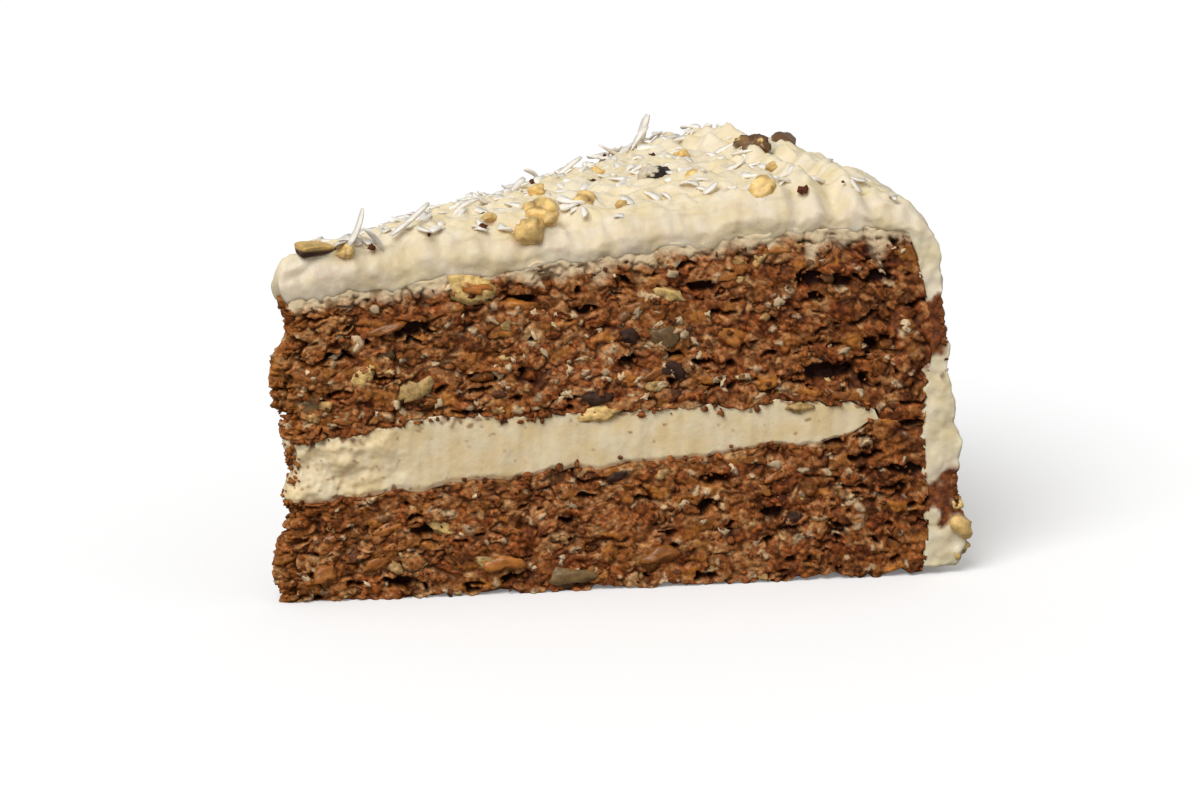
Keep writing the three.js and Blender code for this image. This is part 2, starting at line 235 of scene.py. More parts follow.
def cells(points, seed):
    """One random spot in each unit cell: the distance to the nearest, how much further the next one is,
    and the nearest one's own number from 0 to 1."""
    base = np.floor(points)
    nearest = np.full(points.shape[:-1], 9.0)
    second = nearest.copy()
    own = np.zeros(points.shape[:-1])
    for step in np.ndindex(3, 3, 3):
        cell = base + step - 1
        h = hashed(cell, seed)
        away = np.linalg.norm(points - cell - three_parts(h), axis=-1)
        closer = away < nearest
        second = np.where(closer, nearest, np.minimum(second, away))
        own = np.where(closer, (h >> np.uint32(7) & np.uint32(4095)) / 4095.0, own)
        nearest = np.where(closer, away, nearest)
    return nearest, second - nearest, own


# Grids

def box_lattice(steps):
    """The surface of a unit box cut into steps along, across and up.

    Returns the shared corners as shares of the three edges, and quads that face outwards."""
    counts = np.array(steps)
    quads = []
    for axis in range(3):
        a, b = (axis + 1) % 3, (axis + 2) % 3
        i, j = np.meshgrid(np.arange(counts[a] + 1), np.arange(counts[b] + 1), indexing="ij")
        for end in (0, counts[axis]):
            grid = np.empty(i.shape + (3,), int)
            grid[..., axis], grid[..., a], grid[..., b] = end, i, j
            ring = [grid[:-1, :-1], grid[1:, :-1], grid[1:, 1:], grid[:-1, 1:]]
            quads.append(np.stack(ring if end else ring[::-1], axis=2).reshape(-1, 4, 3))
    corners = np.concatenate(quads)
    keys = corners @ np.array([1, counts[0] + 1, (counts[0] + 1) * (counts[1] + 1)])
    _, first, faces = np.unique(keys, return_index=True, return_inverse=True)
    return corners.reshape(-1, 3)[first] / counts, faces.reshape(-1, 4)


def wedge_grid(steps):
    """A lattice to bend into the wedge: share along, place from cut to cut (-1 to 1), share up, faces."""
    share, faces = box_lattice(steps)
    return share[:, 0], share[:, 1] * 2 - 1, share[:, 2], faces


def ball_grid(around, up):
    """Directions on a closed ball, and its faces: rings of points with a pole at each end, seam shared."""
    turn, rise = np.meshgrid(np.arange(around) / around * 2 * np.pi, np.arange(1, up) / up * np.pi,
                             indexing="ij")
    rings = np.stack([np.cos(turn) * np.sin(rise), np.sin(turn) * np.sin(rise), -np.cos(rise)], -1)
    index = np.arange(around * (up - 1)).reshape(around, up - 1)
    after = np.roll(index, -1, axis=0)
    quads = np.stack([index[:, :-1], after[:, :-1], after[:, 1:], index[:, 1:]], -1).reshape(-1, 4)
    low, high = around * (up - 1), around * (up - 1) + 1
    fans = [(low, b, a) for a, b in zip(index[:, 0], after[:, 0])]
    fans += [(high, a, b) for a, b in zip(index[:, -1], after[:, -1])]
    points = np.concatenate([rings.reshape(-1, 3), [[0, 0, -1], [0, 0, 1]]])
    return points, quads.tolist() + fans


def make_piece(name, points, faces, material, attributes, replaces=()):
    """Puts points in millimetres about the cake's axis into a mesh object, and ties it to the frame."""
    offset = bpy.context.scene.cake_sizes.axis_offset
    mesh = bpy.data.meshes.new(name)
    placed = points * MM - np.array([offset, 0, 0])
    mesh.from_pydata(placed.astype(np.float32), [], faces)
    mesh.shade_smooth()
    for key, values in attributes.items():
        kind, field = ("FLOAT", "value") if values.ndim == 1 else ("FLOAT_COLOR", "color")
        if values.ndim == 2 and values.shape[1] == 3:
            values = np.column_stack([values, np.ones(len(values))])
        made = mesh.attributes.new(key, kind, "POINT")
        made.data.foreach_set(field, values.astype(np.float32).ravel())
    mesh.materials.append(material)
    piece = bpy.data.objects.new(name, mesh)
    bpy.context.scene.collection.objects.link(piece)
    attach(piece, BODY)
    for node in replaces:
        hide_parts(node)
    return piece


# Surfaces between the layers

def flat(x, y):
    """Points in a level plane, for noise that runs along a layer."""
    return np.stack([x, y, np.zeros_like(x)], -1)


def plan(radius, angle):
    """Round coordinates about the cake's axis as x and y."""
    return radius * np.cos(angle), radius * np.sin(angle)


def on_cake(radius, angle, height):
    """Round coordinates about the cake's axis as points."""
    return np.stack([*plan(radius, angle), height], -1)


def ragged(x, y, seed):
    """How far a layer's edge wanders up and down: crags of 7 mm with crumbs of 2.5 mm."""
    return noises(flat(x, y), (1.5, 7, seed), (0.9, 2.5, seed + 1))


def sponge_level(radius):
    """Height of the top sponge before it is ragged: rises from the tip, level near the rim."""
    return SPONGE_TOP_AT_TIP + SPONGE_TOP_RISE * np.minimum(radius, LEVEL_RADIUS)


def sponge_top(x, y):
    """Upper face of the top sponge."""
    return sponge_level(np.hypot(x, y)) + ragged(x, y, 5)


def filling_top(x, y):
    """Upper face of the filling: dips near the tip, closes at its outer end."""
    return curve(FILLING_DIP, np.hypot(x, y)) + 1.2 * ragged(x, y, 15)


def filling_base(x, y):
    """Lower face of the filling: a straight rise from the tip, closing at its outer end."""
    radius = np.hypot(x, y)
    closing = smoothstep(FILLING_END - FILLING_CLOSES_OVER, FILLING_END, radius)
    level = FILLING_BASE_AT_TIP + FILLING_BASE_RISE * np.minimum(radius, FILLING_END)
    return lerp(level, LAYER_JOIN, closing) + 0.95 * ragged(x, y, 25)


def table(x, y):
    """The foot of the slice: flat, with crumbs missing along the cut edges."""
    across = np.arctan2(y, x) / sizes()["half"]
    torn = np.maximum(0, 0.5 + noises(flat(x, y), (2.4, 6, 33), (1.4, 2, 34)))
    return torn * np.abs(across) ** 8


def tip_radius(height, across):
    """Where the blunt tip begins: its torn outline, a little proud in the middle."""
    return curve(TIP_OUTLINE, height) + across**2


def off_cut(share, half):
    """Direction off the two cuts, as long as the share, which is negative towards the front cut."""
    return np.stack([-math.sin(half) * np.abs(share), math.cos(half) * share, 0 * share], -1)


def outward(radius, across, tip, half):
    """Direction in which a cut face stands out: off the two cuts, and back along the radius at the tip."""
    end = np.exp(-(radius - tip) / 2)
    push = off_cut(np.abs(across) ** 6 * np.sign(across), half) - on_cake(end, across * half, 0 * end)
    return push / np.maximum(1, np.linalg.norm(push, axis=-1, keepdims=True))


# Sponge

# Holes in the front cut, as radius, height, half length and half height
HOLES = ((29.7, 51.5, 4.4, 1.7), (50.2, 56.4, 3.2, 1.1), (62.4, 54.1, 2.6, 1.1), (108.9, 40.4, 6.4, 2.0),
         (44, 41.8, 4.6, 1.1), (40.6, 57.2, 3.2, 1.0), (84.5, 57.6, 3.0, 1.2), (118.2, 58.4, 2.8, 1.4),
         (79, 44.5, 2.2, 1.1), (33, 13.2, 3.6, 1.5), (111, 57.5, 2.4, 1.3), (27.5, 3, 4.2, 1.2),
         (117, 45, 1.8, 1.5), (70.5, 44, 2.2, 1.2), (87, 20.5, 3.0, 1.2), (99, 13.5, 2.4, 1.3))
# Streaks of frosting on the crumb, as radius, half width and reach downwards
SMEARS = ((65.6, 2.6, 7.0), (58, 2.0, 4.5), (118, 3.4, 6.0), (105, 1.6, 8.0), (111, 1.8, 4.0))
KNIFE_PLANE = 0.3
HOLE_DEPTH = 2.6
CRACK_DEPTH = 0.9
CLUMP = (3.8, 3.8, 2.4)
GRAIN = (1.6, 1.6, 1.15)
SPECK = 0.75
CARROT_CELL = (5.4, 5.4, 2.6)
FLECK_CELL = (2.3, 2.3, 1.7)
# Own numbers above which a cell holds a shred of carrot or a pale fleck
CARROT_FROM = 0.74
FLECK_FROM = 0.87
RUSSET = np.array([1.06, 0.9, 0.68])
OCHRE = np.array([0.98, 1.1, 1.0])
FILM_TINT = (1.0, 0.91, 0.76)
CUT_FROM = 0.97
SPONGE_ACROSS = 14


def colour_of(name):
    """A colour property as an array."""
    return np.array(getattr(bpy.context.scene.cake_colours, name))


def blend(paint, other, share):
    """Mixes another colour into the paint by each point's own share."""
    return lerp(paint, other, share[:, None])


def crumb(points, across, seed):
    """Relief of torn crumb in millimetres, and its colour and wetness.

    Rounded clumps of 3.8 mm hold grains of 1.6 mm and specks of 0.75 mm, all bent out of shape by noise.
    Cracks run between the clumps, flat holes are sunk in, and what stands highest is pared to the knife's
    plane. Damp shreds of carrot and pale flecks of nut and coconut lie level with the pared crumb. Each
    clump has its own tint, from russet to ochre. Near the blunt tip the crumb is painted more orange and
    brighter, as painted light, and the holes, the cracks and the lowest crumb are painted darker, as
    painted shade."""
    radius = np.hypot(points[:, 0], points[:, 1])
    tip = np.exp(-(radius - TIP_RADIUS) / 12)
    rim = smoothstep(80, 122, radius)
    bent = points + 1.7 * np.stack([noise(points / 2.4, seed + k) for k in range(3)], -1)
    clump, clump_gap, clump_own = cells(bent / CLUMP, seed + 3)
    grain, grain_gap, grain_own = cells(bent / GRAIN, seed + 4)
    speck, _, speck_own = cells(points / SPECK, seed + 5)
    strand, _, strand_own = cells(bent / CARROT_CELL, seed + 6)
    chip, _, chip_own = cells(bent / FLECK_CELL, seed + 7)
    gap = noises(bent, (1, (6, 6, 1.9), seed + 8), (0.5, (2.2, 2.2, 1.0), seed + 9))
    hole = smoothstep(0.34, 0.47, gap + 0.1 * rim + 0.25 * noise(points / 14, seed + 10))
    edge = 0.75 * noise(points / 1.4, seed + 11)
    for r, z, wide, high in HOLES:
        away = np.hypot((radius - r) / wide, (points[:, 2] - z) / high) + edge
        hole = np.where(across < 0, np.maximum(hole, smoothstep(1.05, 0.7, away)), hole)
    crack = smoothstep(0.17, 0.03, clump_gap) * smoothstep(-0.1, 0.15, noise(points / 5, seed + 12))
    crack = np.maximum(crack, 0.3 * smoothstep(0.12, 0.02, grain_gap))
    carrot = smoothstep(0.55, 0.36, strand) * (strand_own > CARROT_FROM) * (1 - hole)
    fleck_from = FLECK_FROM - 0.18 * smoothstep(0, 0.4, noise(points / 16, 41))
    fleck = smoothstep(0.44, 0.34, chip) * (chip_own > fleck_from) * (1 - hole)

    height = 1.1 * noise(points / (11, 11, 8), seed + 13) + 1.2 * (0.45 - clump**2)
    height += 0.8 * (0.4 - grain**2) + 0.4 * (0.35 - speck**2)
    height = np.minimum(height, KNIFE_PLANE) + 0.3 * np.maximum(height - KNIFE_PLANE, 0)
    height = lerp(height - CRACK_DEPTH * crack, 0.25 + 0.3 * height, 0.75 * carrot)
    height = (height + 0.3 * fleck - HOLE_DEPTH * hole) * (1 + 0.9 * tip)

    dark = colour_of("crumb_dark_and_shade")
    tone = 0.6 * (clump_own - 0.5) + 0.65 * (grain_own - 0.5) + 0.6 * (speck_own - 0.5) - 0.2 * rim + 0.05
    paint = blend(colour_of("crumb"), colour_of("crumb_pale"), np.clip(1.2 * tone, 0, 1))
    paint = blend(paint, dark, np.clip(-1.5 * tone, 0, 0.8))
    paint = paint * blend(RUSSET, OCHRE, (clump_own * 7.3) % 1)
    # Warm patches at random are the crumb's own colour; near the tip the crumb is also painted more orange
    # and brighter, as painted light on the blunt tip
    warm_patches_and_tip_light = 0.3 * smoothstep(0.0, 0.4, noise(points / 8, seed + 14)) + 0.35 * tip
    amber = colour_of("carrot") * lerp(0.5, 1.2, (strand_own[:, None] - CARROT_FROM) * 3.8)
    paint = blend(paint, colour_of("carrot"), warm_patches_and_tip_light * 0.8)
    paint = blend(paint, amber, 0.7 * carrot)
    paint = blend(paint, colour_of("fleck") * lerp(0.6, 1.0, grain_own[:, None]), 0.85 * fleck)
    # Painted shade: the holes, the cracks and the lowest crumb are painted towards a darker crumb colour
    painted_cavity_shade = np.maximum(np.maximum(hole, 0.65 * crack * (1 - carrot)), smoothstep(-0.6, -1.8, height) * 0.7)
    paint = blend(paint, dark * 0.6, painted_cavity_shade * (1 - 0.7 * fleck))
    return height, paint, np.maximum(carrot, 0.4 * fleck) * (1 - painted_cavity_shade)


def smear(points, across, top, height):
    """Frosting dragged down over the crumb by the knife: a film under the top edge that fades over the high
    points, and a few streaks."""
    below = top - points[:, 2]
    radius = np.hypot(points[:, 0], points[:, 1])
    feather = noises(points, (2.8, (3.2, 3.2, 5), 71), (0.7, 1.1, 72))
    film = smoothstep(4.0, 0.5, below + feather)
    for r, wide, reach in SMEARS:
        near = ((radius - r) / wide) ** 2 + (below / reach) ** 2 + 0.25 * feather
        film = np.maximum(film, 0.8 * smoothstep(1.2, 0.1, near))
    film = film * lerp(0.75, 1.0, smoothstep(-0.8, 0.2, height))
    return np.maximum(film, smoothstep(1.4, 0.3, below)) * (np.abs(across) > CUT_FROM)


def sponge_layer(low, high, seed, rows, iced):
    """A layer of sponge as a box bent into the wedge: tip to rim, cut to cut, and foot to top.

    Each corner is a share of those three; the cut faces and the tip are then pushed out by the crumb."""
    size = sizes()
    along = round((size["sponge_radius"] - TIP_RADIUS) / size["crumb_step"])
    t, across, up, faces = wedge_grid((along, SPONGE_ACROSS, rows))
    angle = across * size["half"]
    x, y = plan(lerp(TIP_RADIUS, size["sponge_radius"], t), angle)
    bottom, top = low(x, y), high(x, y)
    height = lerp(bottom, top, up)
    tip = tip_radius(height, across)
    rim = size["sponge_radius"] + curve(RIM_BULGE, height)
    radius = lerp(tip, rim, t)
    points = on_cake(radius, angle, height)
    relief, paint, wet = crumb(points, across, seed)
    film = 0 * relief
    if iced:
        film = smear(points, across, top, relief)
        relief = lerp(relief, 0.05 + 0.18 * relief, film)
        relief = lerp(relief, 0.1, smoothstep(1.2, 0.2, top - height))
    paint = blend(paint, colour_of("frosting") * FILM_TINT, film)
    points = points + outward(radius, across, tip, size["half"]) * relief[:, None]
    return points, faces, {"paint": np.column_stack([paint, 1 - film]), "wet": wet}


# Materials

def set_inputs(tree, node, inputs):
    """Gives each input of a node a value or another node's output."""
    for key, value in inputs.items():
        if isinstance(value, bpy.types.NodeSocket):
            tree.links.new(value, node.inputs[key])
        else:
            node.inputs[key].default_value = value


def add_node(tree, kind, inputs=None, **settings):
    """Adds a node, sets its options, and gives each input a value or another node's output."""
    made = tree.nodes.new(kind)
    for option, value in settings.items():
        setattr(made, option, value)
    set_inputs(tree, made, inputs or {})
    return made


def new_material(name):
    """An empty material with its shader, its tree, and the Object coordinates that its patterns read."""
    material = bpy.data.materials.new(name)
    material.use_nodes = True
    tree = material.node_tree
    place = add_node(tree, "ShaderNodeTexCoord").outputs["Object"]
    return material, tree, tree.nodes["Principled BSDF"], place


def per_metre(size):
    """Scale of a pattern whose features are this many millimetres across."""
    return 1 / (size * MM)


def rgba(value):
    """A colour with full alpha."""
    return (*value, 1.0)


def sponge_material():
    """Moist baked crumb, torn by a knife: matt and open, with damp shreds that catch a little light."""
    material, tree, shader, place = new_material("Carrot sponge crumb")
    paint = add_node(tree, "ShaderNodeAttribute", attribute_name="paint")
    wet = add_node(tree, "ShaderNodeAttribute", attribute_name="wet")
    grain = add_node(tree, "ShaderNodeTexNoise", {"Vector": place, "Scale": per_metre(1.0), "Detail": 5.0,
                                                  "Roughness": 0.7})
    shade = add_node(tree, "ShaderNodeMapRange", {"Value": grain.outputs["Fac"], "From Min": 0.36,
                                                  "From Max": 0.64, "To Min": 0.5, "To Max": 1.5})
    base = add_node(tree, "ShaderNodeMix", {0: paint.outputs["Alpha"], 6: paint.outputs["Color"],
                                            7: shade.outputs["Result"]},
                    data_type="RGBA", blend_type="MULTIPLY")
    damp = add_node(tree, "ShaderNodeMapRange", {"Value": wet.outputs["Fac"], "To Min": 0.62,
                                                 "To Max": 0.34})
    bump = add_node(tree, "ShaderNodeBump", {"Strength": 0.8, "Distance": 0.35 * MM,
                                             "Height": grain.outputs["Fac"]})
    set_inputs(tree, shader, {"Base Color": base.outputs[2], "Roughness": damp.outputs["Result"],
                              "Normal": bump.outputs["Normal"], "Specular IOR Level": 0.22,
                              "Subsurface Weight": 0.1, "Subsurface Radius": (1.0, 0.45, 0.2),
                              "Subsurface Scale": 0.7 * MM})
    return material


def cream_material(name, main, roughness, deeper):
    """Whipped cream cheese: pale and soft, light passes a little way into it; faint yellow mottling, and
    crumb-brown by the stain attribute: where cake has come off on it, and as painted shade on the
    frosting's cut faces."""
    look = bpy.context.scene.cake_colours
    material, tree, shader, place = new_material(name)
    stain = add_node(tree, "ShaderNodeAttribute", attribute_name="stain")
    mottle = add_node(tree, "ShaderNodeTexNoise", {"Vector": place, "Scale": per_metre(5), "Detail": 3.0})
    fine = add_node(tree, "ShaderNodeTexNoise", {"Vector": place, "Scale": per_metre(1.3), "Detail": 5.0,
                                                 "Roughness": 0.6})
    shadow = tuple(c * k for c, k in zip(main, deeper))
    share = add_node(tree, "ShaderNodeMapRange", {"Value": mottle.outputs["Fac"], "From Min": 0.38,
                                                  "From Max": 0.66})
    base = add_node(tree, "ShaderNodeMix", {0: share.outputs["Result"], 6: rgba(main), 7: rgba(shadow)},
                    data_type="RGBA")
    crust = add_node(tree, "ShaderNodeMapRange", {"Value": fine.outputs["Fac"], "From Min": 0.4,
                                                  "From Max": 0.62, "To Min": 0.2})
    baked = add_node(tree, "ShaderNodeMix", {0: crust.outputs["Result"], 6: rgba(look.crumb_dark_and_shade),
                                             7: rgba(look.crumb)}, data_type="RGBA")
    whole = add_node(tree, "ShaderNodeMix", {0: stain.outputs["Fac"], 6: base.outputs[2],
                                             7: baked.outputs[2]}, data_type="RGBA")
    bump = add_node(tree, "ShaderNodeBump", {"Strength": 0.45, "Distance": 0.45 * MM,
                                             "Height": fine.outputs["Fac"]})
    set_inputs(tree, shader, {"Base Color": whole.outputs[2], "Normal": bump.outputs["Normal"],
                              "Roughness": roughness, "Specular IOR Level": 0.35,
                              "Subsurface Weight": 0.4, "Subsurface Radius": (1.0, 0.75, 0.45),
                              "Subsurface Scale": 1.4 * MM})
    return material


def food_material(name, spot, roughness, glow, contrast):
    """A small solid ingredient: its own colour, mottled at spot millimetres, with light just inside it."""
    material, tree, shader, place = new_material(name)
    paint = add_node(tree, "ShaderNodeAttribute", attribute_name="paint")
    mottle = add_node(tree, "ShaderNodeTexNoise", {"Vector": place, "Scale": per_metre(spot), "Detail": 4.0,
                                                   "Roughness": 0.6})
    shade = add_node(tree, "ShaderNodeMapRange", {"Value": mottle.outputs["Fac"], "From Min": 0.36,
                                                  "From Max": 0.64, "To Min": 1 - contrast,
                                                  "To Max": 1 + contrast / 2})
    base = add_node(tree, "ShaderNodeMix", {0: 1.0, 6: paint.outputs["Color"], 7: shade.outputs["Result"]},
                    data_type="RGBA", blend_type="MULTIPLY")
    bump = add_node(tree, "ShaderNodeBump", {"Strength": 0.5, "Distance": 0.25 * MM,
                                             "Height": mottle.outputs["Fac"]})
    set_inputs(tree, shader, {"Base Color": base.outputs[2], "Normal": bump.outputs["Normal"],
                              "Roughness": roughness, "Specular IOR Level": 0.45,
                              "Subsurface Weight": glow, "Subsurface Radius": (1.0, 0.6, 0.35),
                              "Subsurface Scale": 1.2 * MM})
    return material


# Frosting

FOOT_HEIGHT = 1.6
TOP_SHARE = 0.60
SHOULDER_SHARE = 0.70
FROSTING_TIP = 6.8
RIM_FROSTING = 5
RIM_PATH = 80
FROSTING_STEPS = (124, 14)
EDGE_DROP = 2.4
EDGE_REACH = 3.0
NUT_MOUND = 1.7
NUT_MOUND_SPREAD = 18
NOSE = 1.2
KNIFE_INSET = 2.8
# The sponge's corner under the shoulder, as shares of the turn, insets from the tin and heights
CORNER_SHARES = (0, 0.35, 0.65, 1)
CORNER_INSETS = (8, 3.5, 1.2)
CORNER_HEIGHTS = (68, 68, 66.8, SHOULDER_HEIGHT)
# Where cake shows on the rim, as place from cut to cut, height, half width and half height
RIM_PATCHES = ((-1, 48, 5, 6), (-1, 16.5, 6, 4.5), (-0.35, 40, 5, 3.5), (0.3, 21, 6, 3.5), (0.75, 47, 5, 4),
               (0.98, 19, 7, 3), (-0.6, 14, 4, 2))


def frosting_level(radius, depth):
    """Height of the frosting's top: the sponge's plus a depth, heaped by the tip and ringed by the rim."""
    hump = HUMP[0] * np.exp(-(((radius - HUMP[1]) / HUMP[2]) ** 2))
    past = np.maximum(0, radius - RIDGE_FROM)
    ring = RIDGE_DEPTH * np.clip(past / RIDGE_PITCH, 0, 1) * np.sin(2 * np.pi * past / RIDGE_PITCH)
    return sponge_level(radius) + depth + hump + ring


def shoulder_start(size):
    """Radius at which the frosting's top turns down into the shoulder."""
    return size["sponge_radius"] + FROSTED_RIM[-1][1] - SHOULDER_REACH


def node_corners(node):
    """Lowest and highest corner of a solid, in millimetres about the cake's axis."""
    corners = np.array([list(corner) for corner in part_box(node)]) / MM
    corners[:, 0] += sizes()["axis_offset"]
    return corners


def lumps(x, y):
    """Uneven spreading of the top: waves of 13 mm, dabs of 5 mm with soft peaks, a rough skin of 2 mm, and
    frosting pushed up round each nut."""
    place = flat(x, y)
    height = noises(place, (1.6, 13, 81), (1.7, 5, 82), (0.9, 2.2, 83), (0.35, 1.1, 85))
    height += 0.9 * (0.3 - np.abs(noise(place / 4.2, 84)) * 2)
    for node in (*NUTS, "raisin_top"):
        middle = node_corners(node).mean(0)
        height += NUT_MOUND * np.exp(-((x - middle[0]) ** 2 + (y - middle[1]) ** 2) / NUT_MOUND_SPREAD)
    return height


def frosting_outline(t, size):
    """Outside and inside of the frosting on its way from tip to shoulder to foot, as radius and height."""
    tin, depth = size["sponge_radius"], size["frosting_depth"]
    start = shoulder_start(size)
    rise = frosting_level(start, depth) - SHOULDER_HEIGHT
    a = np.clip(t / TOP_SHARE, 0, 1)
    b = np.clip((t - TOP_SHARE) / (SHOULDER_SHARE - TOP_SHARE), 0, 1)
    c = np.clip((t - SHOULDER_SHARE) / (1 - SHOULDER_SHARE), 0, 1)
    top_radius = lerp(FROSTING_TIP, start, a)
    rim_height = lerp(SHOULDER_HEIGHT, FOOT_HEIGHT, c)
    on_top, on_rim = t <= TOP_SHARE, t >= SHOULDER_SHARE
    turn = b * np.pi / 2
    outer_r = np.where(on_top, top_radius, np.where(on_rim, tin + curve(FROSTED_RIM, rim_height),
                                                    start + SHOULDER_REACH * np.sin(turn)))
    outer_z = np.where(on_top, frosting_level(top_radius, depth),
                       np.where(on_rim, rim_height, SHOULDER_HEIGHT + rise * np.cos(turn)))
    corner_r = np.interp(b, CORNER_SHARES, (start, *(tin - inset for inset in CORNER_INSETS)))
    corner_z = np.interp(b, CORNER_SHARES, CORNER_HEIGHTS)
    inner_r = np.where(on_top, top_radius, np.where(on_rim, tin + curve(RIM_BULGE, rim_height), corner_r))
    inner_z = np.where(on_rim, rim_height, np.where(on_top, 0, corner_z))
    return outer_r, outer_z, inner_r, inner_z, on_top, on_rim


def frosting_top(x, y, size):
    """Height of the frosting's top over a point, for what lies on it."""
    radius = np.hypot(x, y)
    start = shoulder_start(size)
    level = frosting_level(np.minimum(radius, start), size["frosting_depth"])
    over = np.clip((radius - start) / SHOULDER_REACH, 0, 1)
    height = lerp(SHOULDER_HEIGHT, level, np.sqrt(1 - over**2))
    edge = (size["half"] - np.abs(np.arctan2(y, x))) * radius
    return height + smoothstep(1, 0.4, over) * lumps(x, y) - edge_round(edge)


def edge_round(inside):
    """How far the top falls away towards a cut, by the distance from it."""
    return EDGE_DROP * np.exp(-np.maximum(inside, 0) / EDGE_REACH)


def rim_stain(across, height, depth, size):
    """Where cake shows through the thin frosting on the rim: spots by their place round and up, with edges
    that are uneven through the frosting's depth as well, which is given as a radius."""
    radius = size["sponge_radius"] + RIM_FROSTING
    points = on_cake(depth, across * size["half"], height)
    edge = noises(points, (1.9, 4, 88), (0.7, 1.8, 89))
    stain = np.zeros(len(points))
    for place, z, wide, high in RIM_PATCHES:
        away = np.hypot((across - place) * size["half"] * radius / wide, (height - z) / high) + edge
        stain = np.maximum(stain, smoothstep(1.15, 0.65, away))
    return stain


def frosting_shell():
    """Frosting as a box bent over the top and down the rim: along its way, cut to cut, through its depth.

    The outside gets lumps and the cut faces a knife's drag. The lower edge hangs a little over the crumb,
    and on the rim the inner edge laps over it. Returns its points, its faces and its share of crumb-brown:
    where crumb shows through on the rim, and painted shade on the cut faces, darker towards their foot."""
    size = sizes()
    half = size["half"]
    path = size["sponge_radius"] + RIM_PATH
    t, across, up, faces = wedge_grid((round(path / size["cream_step"]), *FROSTING_STEPS))
    outer_r, outer_z, inner_r, inner_z, on_top, on_rim = frosting_outline(t, size)
    angle = across * half
    side = np.abs(across) ** 24
    x, y = plan(inner_r, angle)
    over = smoothstep(SHOULDER_SHARE, TOP_SHARE, t)
    inner_z = np.where(on_top, sponge_top(x, y), inner_z + over * ragged(x, y, 5))
    overlap = 0.5 + noises(flat(inner_z, 0 * inner_z), (2.2, 3.5, 84), (1.0, 1.2, 94))
    inner_r = inner_r - on_rim * side * np.maximum(overlap, 0)
    skirt = 0.9 + noises(flat(x, y), (1.6, 4, 86), (1.0, 1.6, 87))
    inner_z = inner_z - over * side * np.maximum(skirt, 0)
    inside = (1 - np.abs(across)) * half * outer_r
    outer_z = outer_z + over * (lumps(*plan(outer_r, angle)) - edge_round(inside))
    skin = on_cake(outer_r, angle, outer_z)
    stain = rim_stain(across, outer_z, lerp(inner_r, outer_r, up), size) * (1 - over)
    clump, _, _ = cells(skin / 1.7, 90)
    rough = noises(skin, (2.2, 9, 91), (1.3, 3.5, 92), (0.4, 1.4, 93))
    outer_r = outer_r + (1 - over) * (rough + stain * (0.2 - 1.2 * clump))
    radius, height = lerp(inner_r, outer_r, up), lerp(inner_z, outer_z, up)
    radius = radius - NOSE * np.exp(-t * path / 2.0) * (1 - (2 * up - 1) ** 2)
    width = half * radius
    inset = np.minimum(KNIFE_INSET * smoothstep(0.3, 1, up) ** 2 * over, 0.35 * width)
    points = on_cake(radius, angle * (1 - inset / width), height)
    drag = noises(points, (0.8, 8, 95), (0.8, 3.4, 96), (0.5, 1.4, 97))
    drag = 0.2 + drag * smoothstep(0, 0.3, up) * smoothstep(0, 4, t * path)
    drag = lerp(-0.1, drag, smoothstep(0, 0.06, up))
    points = points + off_cut(side * np.sign(across), half) * drag[:, None]
    # Painted shade: the cut faces are painted crumb-brown, more so towards their foot, and mottled
    smear_and_shade = side * over * lerp(0.1, 0.23, smoothstep(0.9, 0.0, up))
    smear_and_shade = smear_and_shade * (1 + 1.2 * noise(points / (2, 2, 5), 98))
    return points, faces, np.maximum(stain * smoothstep(0.2, 0.8, up + side), smear_and_shade)


# Small things: strips and lumps

STRIP_STEPS = 6
# Share of what is in the crumb that goes into the top sponge, and how deep a thing may sit in a hole
IN_TOP_SPONGE = 0.58
DEEPEST_SEAT = -0.8
# A nut with more breaks than this is a flat chip, and is made blunt
CHIP_BREAKS = 8
CHIP_BLUNTNESS = 0.55
BOTTOM_SEED = 101
TOP_SEED = 201


def frames(direction, normal):
    """Three axes for each thing: along, across and up, from its direction and the surface's normal."""
    up = normal / np.linalg.norm(normal, axis=1, keepdims=True)
    along = direction - (direction * up).sum(1, keepdims=True) * up
    along /= np.linalg.norm(along, axis=1, keepdims=True)
    return along, np.cross(up, along), up


def strips(place, direction, normal, long, wide, thick, bend, twist, curl):
    """Bent strips with closed ends: an oblong section carried along a parabola and twisted on the way.

    At share s from -1 to 1 the middle is at place + along * s * long / 2, moved by
    (up * bend + side * curl) * s * s."""
    along, side, up = frames(direction, normal)
    s = np.linspace(-1, 1, STRIP_STEPS + 1)
    taper = 1 - 0.4 * np.abs(s) ** 4
    middle = place[:, None] + along[:, None] * (s[:, None] * long[:, None, None] / 2)
    middle += up[:, None] * (s[:, None] ** 2 * bend[:, None, None])
    middle += side[:, None] * (s[:, None] ** 2 * curl[:, None, None])
    turn = twist[:, None] * s
    a = side[:, None] * np.cos(turn)[..., None] + up[:, None] * np.sin(turn)[..., None]
    b = up[:, None] * np.cos(turn)[..., None] - side[:, None] * np.sin(turn)[..., None]
    a = a * (wide[:, None] * taper / 2)[..., None]
    b = b * (thick[:, None] * taper / 2)[..., None]
    ring = np.stack([middle - a - b, middle + a - b, middle + a + b, middle - a + b], 2)
    count = 4 * len(s)
    index = np.arange(count).reshape(-1, 4)
    after = np.roll(index, -1, axis=1)
    quads = np.stack([index[:-1], after[:-1], after[1:], index[1:]], -1).reshape(-1, 4)
    quads = np.concatenate([quads, index[:1, ::-1], index[-1:]])
    faces = quads[None] + count * np.arange(len(place))[:, None, None]
    return ring.reshape(-1, 3), faces.reshape(-1, 4).tolist()


